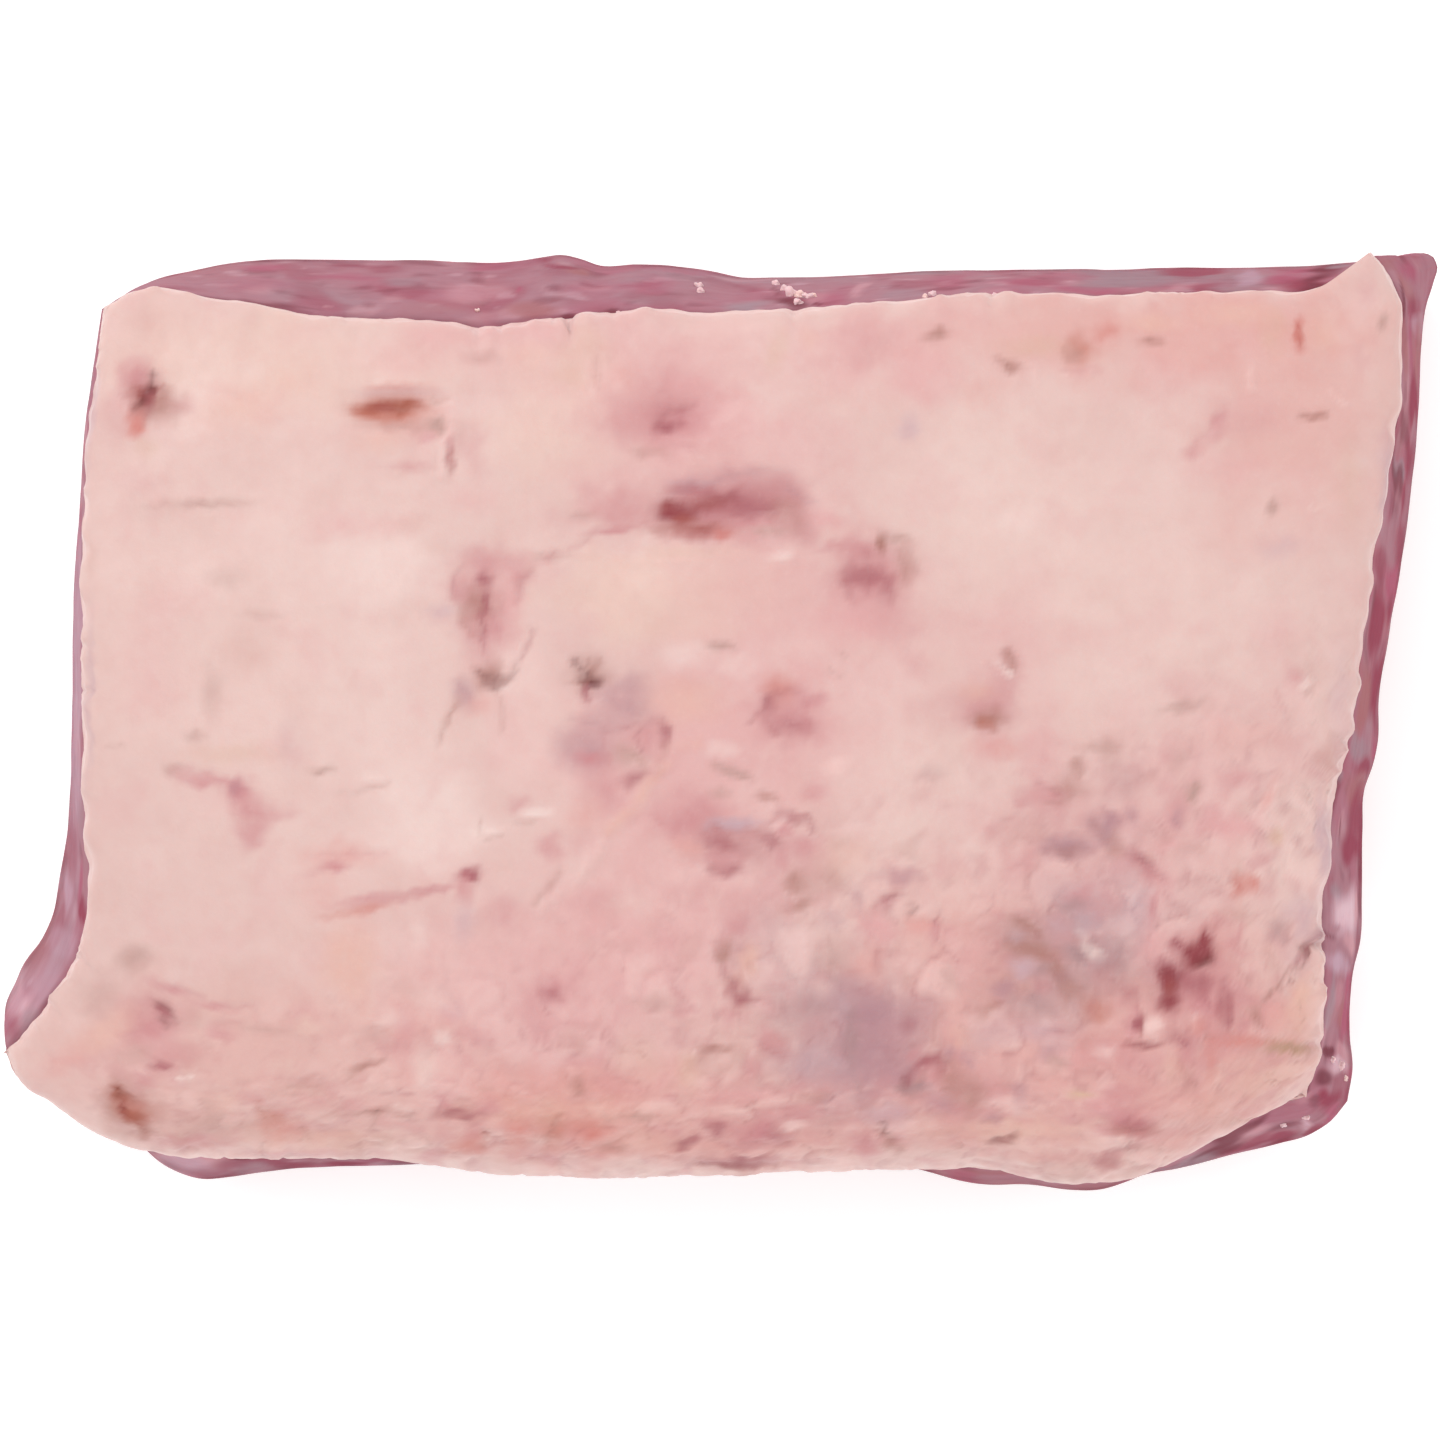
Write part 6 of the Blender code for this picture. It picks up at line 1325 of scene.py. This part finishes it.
def wall_row(rim_ring, widest, outward, drop):
    """A row of the lean's wall: it flares from the rim to the widest line, tucks in below that, and carries
    the relief of the fibres outwards."""
    height = rim_ring[:, 2] * (1 - drop)
    wall = np.maximum(rim_ring[:, 2] - GIRTH_HEIGHT, 1)
    above = np.clip((height - GIRTH_HEIGHT) / wall, 0, 1) ** FLARE_POWER
    below = np.clip((GIRTH_HEIGHT - height) / GIRTH_HEIGHT, 0, 1)
    plan = above[:, None] * rim_ring[:, :2] + (1 - above[:, None]) * widest
    plan = drawn_in(plan, FOOT_TUCK * (1 - np.sqrt(1 - below ** 2)))
    level = np.column_stack((plan, height))
    fibres = level * np.array((1 / FIBRE_LENGTH, 1 / FIBRE_LENGTH, 1 / FIBRE_PITCH))
    slump = waves(level, SLUMP_LENGTH, 9)
    relief = RELIEF_SHARE * (FIBRE_HEIGHT * waves(fibres, 1.0, 8) + SLUMP_HEIGHT * slump)
    bundles = waves(level * np.array((0.3, 0.3, 0.5)), 2.2, 81)
    strands = waves(level * np.array((0.2, 0.2, 0.9)), 1.1, 82)
    seams = np.abs(waves(level * np.array((0.12, 0.12, 0.5)), 4.0, 83))
    split = np.clip(1 - seams * SPLIT_NARROWNESS, 0, 1)
    relief += BUNDLE_HEIGHT * bundles + STRAND_HEIGHT * strands - SPLIT_DEPTH * split ** 2
    calm = fade(drop, 0, 0.12) * fade(1 - drop, 0, 0.3)
    level[:, :2] += outward * (relief * (0.25 + 0.75 * calm) * fade(1 - drop, 0, 0.05))[:, None]
    return level


def lean_piece(rim, girth):
    """The lean: the wall profile carried round the outline, closed by rings to a pole at top and bottom."""
    ring = ring_uv(RING_ACROSS, RING_DEEP)
    count = len(ring)
    u, v = ring[:, 0], ring[:, 1]
    widest = np.concatenate((
        girth["front"](u[:RING_ACROSS]), girth["right"](v[RING_ACROSS:RING_ACROSS + RING_DEEP]),
        girth["back"](u[RING_ACROSS + RING_DEEP:2 * RING_ACROSS + RING_DEEP]),
        girth["left"](v[2 * RING_ACROSS + RING_DEEP:])))
    tangent = np.roll(widest, -4, axis=0) - np.roll(widest, 4, axis=0)
    outward = np.column_stack((tangent[:, 1], -tangent[:, 0]))
    outward /= np.linalg.norm(outward, axis=1)[:, None]
    travel = np.concatenate(((0.0,), np.cumsum(np.linalg.norm(np.diff(widest, axis=0), axis=1))))
    rim_ring = contact(rim, u, v, 0.0)
    points, lengths, drops = [], [], []
    for ring_number in range(HIDDEN_RINGS - 1, 0, -1):
        shrink = 1 - (ring_number / HIDDEN_RINGS) ** 2
        inner = 0.5 + (ring - 0.5) * shrink
        points.append(contact(rim, inner[:, 0], inner[:, 1], 0.0))
        lengths.append(travel)
        drops.append(np.zeros(count))
    for row in range(WALL_ROWS + 1):
        drop = row / WALL_ROWS
        points.append(wall_row(rim_ring, widest, outward, drop))
        lengths.append(travel)
        drops.append(np.full(count, drop))
    foot = points[-1]
    middle = foot.mean(axis=0)
    for ring_number in range(1, HIDDEN_RINGS):
        shrink = 1 - ring_number / HIDDEN_RINGS
        points.append(middle + (foot - middle) * shrink)
        lengths.append(travel)
        drops.append(np.ones(count))
    rings = len(points)
    top_pole = contact(rim, CENTRE, CENTRE, 0.0)
    every = np.concatenate(points + [top_pole, middle[None]])
    drops.append(np.array((0.0, 1.0)))
    faces = [band_faces(i * count, (i + 1) * count, count)[:, ::-1] for i in range(rings - 1)]
    faces.append(fan_faces(0, rings * count, count))
    faces.append(fan_faces((rings - 1) * count, rings * count + 1, count)[:, ::-1])
    uv = np.column_stack((np.concatenate(lengths + [np.zeros(2)]), every[:, 2])) * MM
    return make_mesh("raw_lean", every, faces, lean_colours(every, np.concatenate(drops)), uv=uv), every


def crumb_piece(lean_points):
    """Crumbs of fat on the lean: spheres whose radius swells and dips with noise, each centred on the wall
    where it is seen from above."""
    upper = lean_points[lean_points[:, 2] > GIRTH_HEIGHT]
    plan = as_seen(upper)
    turn, fall = (a.ravel() for a in np.meshgrid(np.linspace(0, 2 * math.pi, CRUMB_SIDES, endpoint=False),
                                                 np.linspace(0, math.pi, CRUMB_RINGS + 2)[1:-1]))
    ball = np.column_stack((np.cos(turn) * np.sin(fall), np.sin(turn) * np.sin(fall), np.cos(fall)))
    ball = np.concatenate((ball, np.array(((0, 0, 1), (0, 0, -1)))))
    points, faces, colours = [], [], []
    for number, (x, y, size, pigment) in enumerate(CRUMBS):
        middle = upper[np.argmin(np.hypot(plan[:, 0] - x, plan[:, 1] - y))]
        lumps = waves(ball + 7.0 * number, 0.9, 91)
        grit = waves(ball + 3.0 * number, 0.4, 92)
        lumpy = 1 + CRUMB_LUMPS * lumps + CRUMB_GRIT * grit
        first = number * len(ball)
        points.append(middle + size * ball * lumpy[:, None])
        faces += [band_faces(first + i * CRUMB_SIDES, first + (i + 1) * CRUMB_SIDES, CRUMB_SIDES)[:, ::-1]
                  for i in range(CRUMB_RINGS - 1)]
        last = first + (CRUMB_RINGS - 1) * CRUMB_SIDES
        faces.append(fan_faces(first, first + CRUMB_RINGS * CRUMB_SIDES, CRUMB_SIDES))
        faces.append(fan_faces(last, first + CRUMB_RINGS * CRUMB_SIDES + 1, CRUMB_SIDES)[:, ::-1])
        colours.append(np.tile(linear(PIGMENTS[pigment]) * CRUMB_SHARE, (len(ball), 1)))
    return make_mesh("fat_crumbs", np.concatenate(points), faces, np.concatenate(colours))


# ------------------------------ materials
UNDER_SKIN_LIGHT = 0.15
FAT_VEIL = (240, 214, 214)
FAT_FLECK = (0.25, 0.18, 0.16)
LEAN_VEIL = (222, 170, 184)
SINEW = (206, 152, 164)
STREAK_SCALE = (150.0, 420.0, 1.0)
BUNDLE_SCALE = (75.0, 110.0, 1.0)


class Shader:
    """A node material under construction."""

    def __init__(self, name):
        self.material = bpy.data.materials.new(name)
        self.material.use_nodes = True
        self.tree = self.material.node_tree
        self.surface = self.tree.nodes["Principled BSDF"]

    def node(self, kind, **settings):
        """Adds a node; settings name its properties or, where a socket has that name, its inputs."""
        node = self.tree.nodes.new(kind)
        for key, value in settings.items():
            label = key.replace("_", " ").title()
            if hasattr(node, key):
                setattr(node, key, value)
            else:
                node.inputs[label].default_value = value
        return node

    def finish(self, label, value):
        """Sets an input of the surface."""
        self.surface.inputs[label].default_value = value

    def link(self, source, target):
        """Joins an output socket to an input socket."""
        self.tree.links.new(source, target)


def noise_node(shader, vector, scale, detail, roughness):
    """Cloudy noise read at the given coordinates."""
    node = shader.node("ShaderNodeTexNoise", scale=scale, detail=detail, roughness=roughness)
    shader.link(vector, node.inputs["Vector"])
    return node.outputs["Fac"]


def ramp_value(shader, source, low, high, to_low, to_high):
    """A value spread from one range to another."""
    node = shader.node("ShaderNodeMapRange", from_min=low, from_max=high, to_min=to_low, to_max=to_high)
    shader.link(source, node.inputs["Value"])
    return node.outputs["Result"]


def mix_colour(shader, mode, factor, first, second):
    """Blends a plain second colour over the first; the factor and the first are sockets."""
    node = shader.node("ShaderNodeMix", data_type="RGBA", blend_type=mode)
    shader.link(factor, node.inputs[0])
    shader.link(first, node.inputs[6])
    node.inputs[7].default_value = (*second, 1.0)
    return node.outputs[2]


def bump(shader, height, strength, distance, normal=None):
    """A bump from a height value, in metres."""
    node = shader.node("ShaderNodeBump", strength=strength, distance=distance)
    shader.link(height, node.inputs["Height"])
    if normal is not None:
        shader.link(normal, node.inputs["Normal"])
    return node.outputs["Normal"]


def soften(shader, radius):
    """Lets a little light wander under the skin, red the farthest."""
    shader.finish("Subsurface Weight", UNDER_SKIN_LIGHT)
    shader.finish("Subsurface Radius", radius)
    shader.finish("Subsurface Scale", MM)


def fat_material():
    """Moist cream fat: the painted pigment, fine mottling and flecks, soft light under the skin."""
    shader = Shader("moist fat")
    coordinates = shader.node("ShaderNodeTexCoord").outputs["Object"]
    pigment = shader.node("ShaderNodeAttribute", attribute_name="pigment").outputs["Color"]
    cloud = noise_node(shader, coordinates, 260.0, 5.0, 0.6)
    fleck = noise_node(shader, coordinates, 900.0, 3.0, 0.6)
    blush = mix_colour(shader, "MULTIPLY", ramp_value(shader, cloud, 0.42, 0.75, 0.0, 0.18), pigment,
                       linear(FAT_VEIL))
    pale = mix_colour(shader, "SCREEN", ramp_value(shader, fleck, 0.6, 0.8, 0.0, 0.15), blush, FAT_FLECK)
    shader.link(pale, shader.surface.inputs["Base Color"])
    shader.link(ramp_value(shader, cloud, 0.3, 0.7, 0.36, 0.56), shader.surface.inputs["Roughness"])
    soften(shader, (1.0, 0.45, 0.35))
    shader.finish("Specular IOR Level", 0.25)
    shader.finish("Coat Weight", 0.06)
    shader.finish("Coat Roughness", 0.16)
    broad = bump(shader, cloud, 0.3, 0.0004)
    shader.link(bump(shader, fleck, 0.25, 0.00015, broad), shader.surface.inputs["Normal"])
    return shader.material


def stretch(shader, along, scale):
    """Coordinates scaled differently along and across the fibres."""
    node = shader.node("ShaderNodeMapping", scale=scale)
    shader.link(along, node.inputs["Vector"])
    return node.outputs["Vector"]


def lean_material():
    """Raw lean: streaks run along the fibres, with pale sinew threads. It mirrors nothing, so that its steep
    sides keep their colour from above."""
    shader = Shader("raw lean")
    along = shader.node("ShaderNodeTexCoord").outputs["UV"]
    stretched = stretch(shader, along, STREAK_SCALE)
    pigment = shader.node("ShaderNodeAttribute", attribute_name="pigment").outputs["Color"]
    grain = noise_node(shader, stretched, 1.0, 5.0, 0.65)
    coarse = stretch(shader, along, BUNDLE_SCALE)
    bundle = noise_node(shader, coarse, 1.0, 4.0, 0.6)
    streaked = mix_colour(shader, "MULTIPLY", ramp_value(shader, grain, 0.45, 0.8, 0.0, 0.3), pigment,
                          linear(LEAN_VEIL))
    threads = mix_colour(shader, "MIX", ramp_value(shader, bundle, 0.66, 0.82, 0.0, 0.08), streaked,
                         linear(SINEW))
    shader.link(threads, shader.surface.inputs["Base Color"])
    shader.link(ramp_value(shader, grain, 0.3, 0.7, 0.3, 0.5), shader.surface.inputs["Roughness"])
    soften(shader, (1.0, 0.3, 0.25))
    shader.finish("Specular IOR Level", 0.0)
    broad = bump(shader, bundle, 0.25, 0.0004)
    shader.link(bump(shader, grain, 0.2, 0.0002, broad), shader.surface.inputs["Normal"])
    return shader.material


# ------------------------------ studio
# In metres: the camera's height, the width that it sees at the view level, how far it sees, the floor.
CAMERA_HEIGHT = EYE_HEIGHT * MM
VIEW_WIDTH = 0.241
VIEW_LEVEL = 0.018
VIEW_END = 10.0
FLOOR_SIZE = 3.0
FLOOR_DROP = 0.0002
PAPER_WHITE = 0.93
FLOOR_GLOW = 0.3
# In millimetres, as lenses are measured.
SENSOR_WIDTH = 36.0
# Lamps: name, place and size in metres, watts.
LIGHTS = (
    ("soft box", (-0.7, 0.9, 1.1), 1.2, 7.0),
    ("lamp", (-0.4, 0.55, 1.35), 0.25, 2.6),
    ("fill", (0.9, -0.8, 1.0), 1.2, 4.0),
)
SURROUND = 0.99


def studio():
    """A white floor, three lamps, a pale surround and a camera straight above."""
    bpy.ops.mesh.primitive_plane_add(size=FLOOR_SIZE, location=(0, 0, -FLOOR_DROP))
    floor = bpy.context.object
    floor.name = "floor"
    paper = Shader("white floor")
    paper.finish("Base Color", (PAPER_WHITE, PAPER_WHITE, PAPER_WHITE, 1))
    paper.finish("Roughness", 0.9)
    paper.finish("Emission Color", (1, 1, 1, 1))
    paper.finish("Emission Strength", FLOOR_GLOW)
    floor.data.materials.append(paper.material)

    for name, place, size, power in LIGHTS:
        lamp = bpy.data.lights.new(name, "AREA")
        lamp.size = size
        lamp.energy = power
        light = bpy.data.objects.new(name, lamp)
        light.location = place
        light.rotation_euler = (-Vector(place)).to_track_quat("-Z", "Y").to_euler()
        bpy.context.scene.collection.objects.link(light)

    world = bpy.data.worlds.new("surround")
    world.use_nodes = True
    glow = world.node_tree.nodes["Background"].inputs
    glow["Color"].default_value = (1.0, 0.99, 0.98, 1)
    glow["Strength"].default_value = SURROUND
    bpy.context.scene.world = world

    lens = bpy.data.cameras.new("camera")
    lens.sensor_width = SENSOR_WIDTH
    lens.lens = SENSOR_WIDTH * (CAMERA_HEIGHT - VIEW_LEVEL) / VIEW_WIDTH
    lens.clip_end = VIEW_END
    camera = bpy.data.objects.new("camera", lens)
    camera.location = (0, 0, CAMERA_HEIGHT)
    bpy.context.scene.collection.objects.link(camera)
    bpy.context.scene.camera = camera
    bpy.context.scene.view_settings.view_transform = "Standard"


def main():
    """The three pieces, all on the root body, and the studio round them."""
    girth = outline(GIRTH_CORNERS, GIRTH_SIDES)
    cap = outline(CAP_CORNERS, CAP_SIDES)
    rim = rim_outline(cap, girth)
    fat = fat_piece(cap, rim)
    fat.data.materials.append(fat_material())
    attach(fat, "root")
    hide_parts("fat_cap")
    lean, lean_points = lean_piece(rim, girth)
    lean.data.materials.append(lean_material())
    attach(lean, "root")
    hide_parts("lean_muscle")
    crumbs = crumb_piece(lean_points)
    crumbs.data.materials.append(fat.data.materials[0])
    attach(crumbs, "root")
    studio()


main()
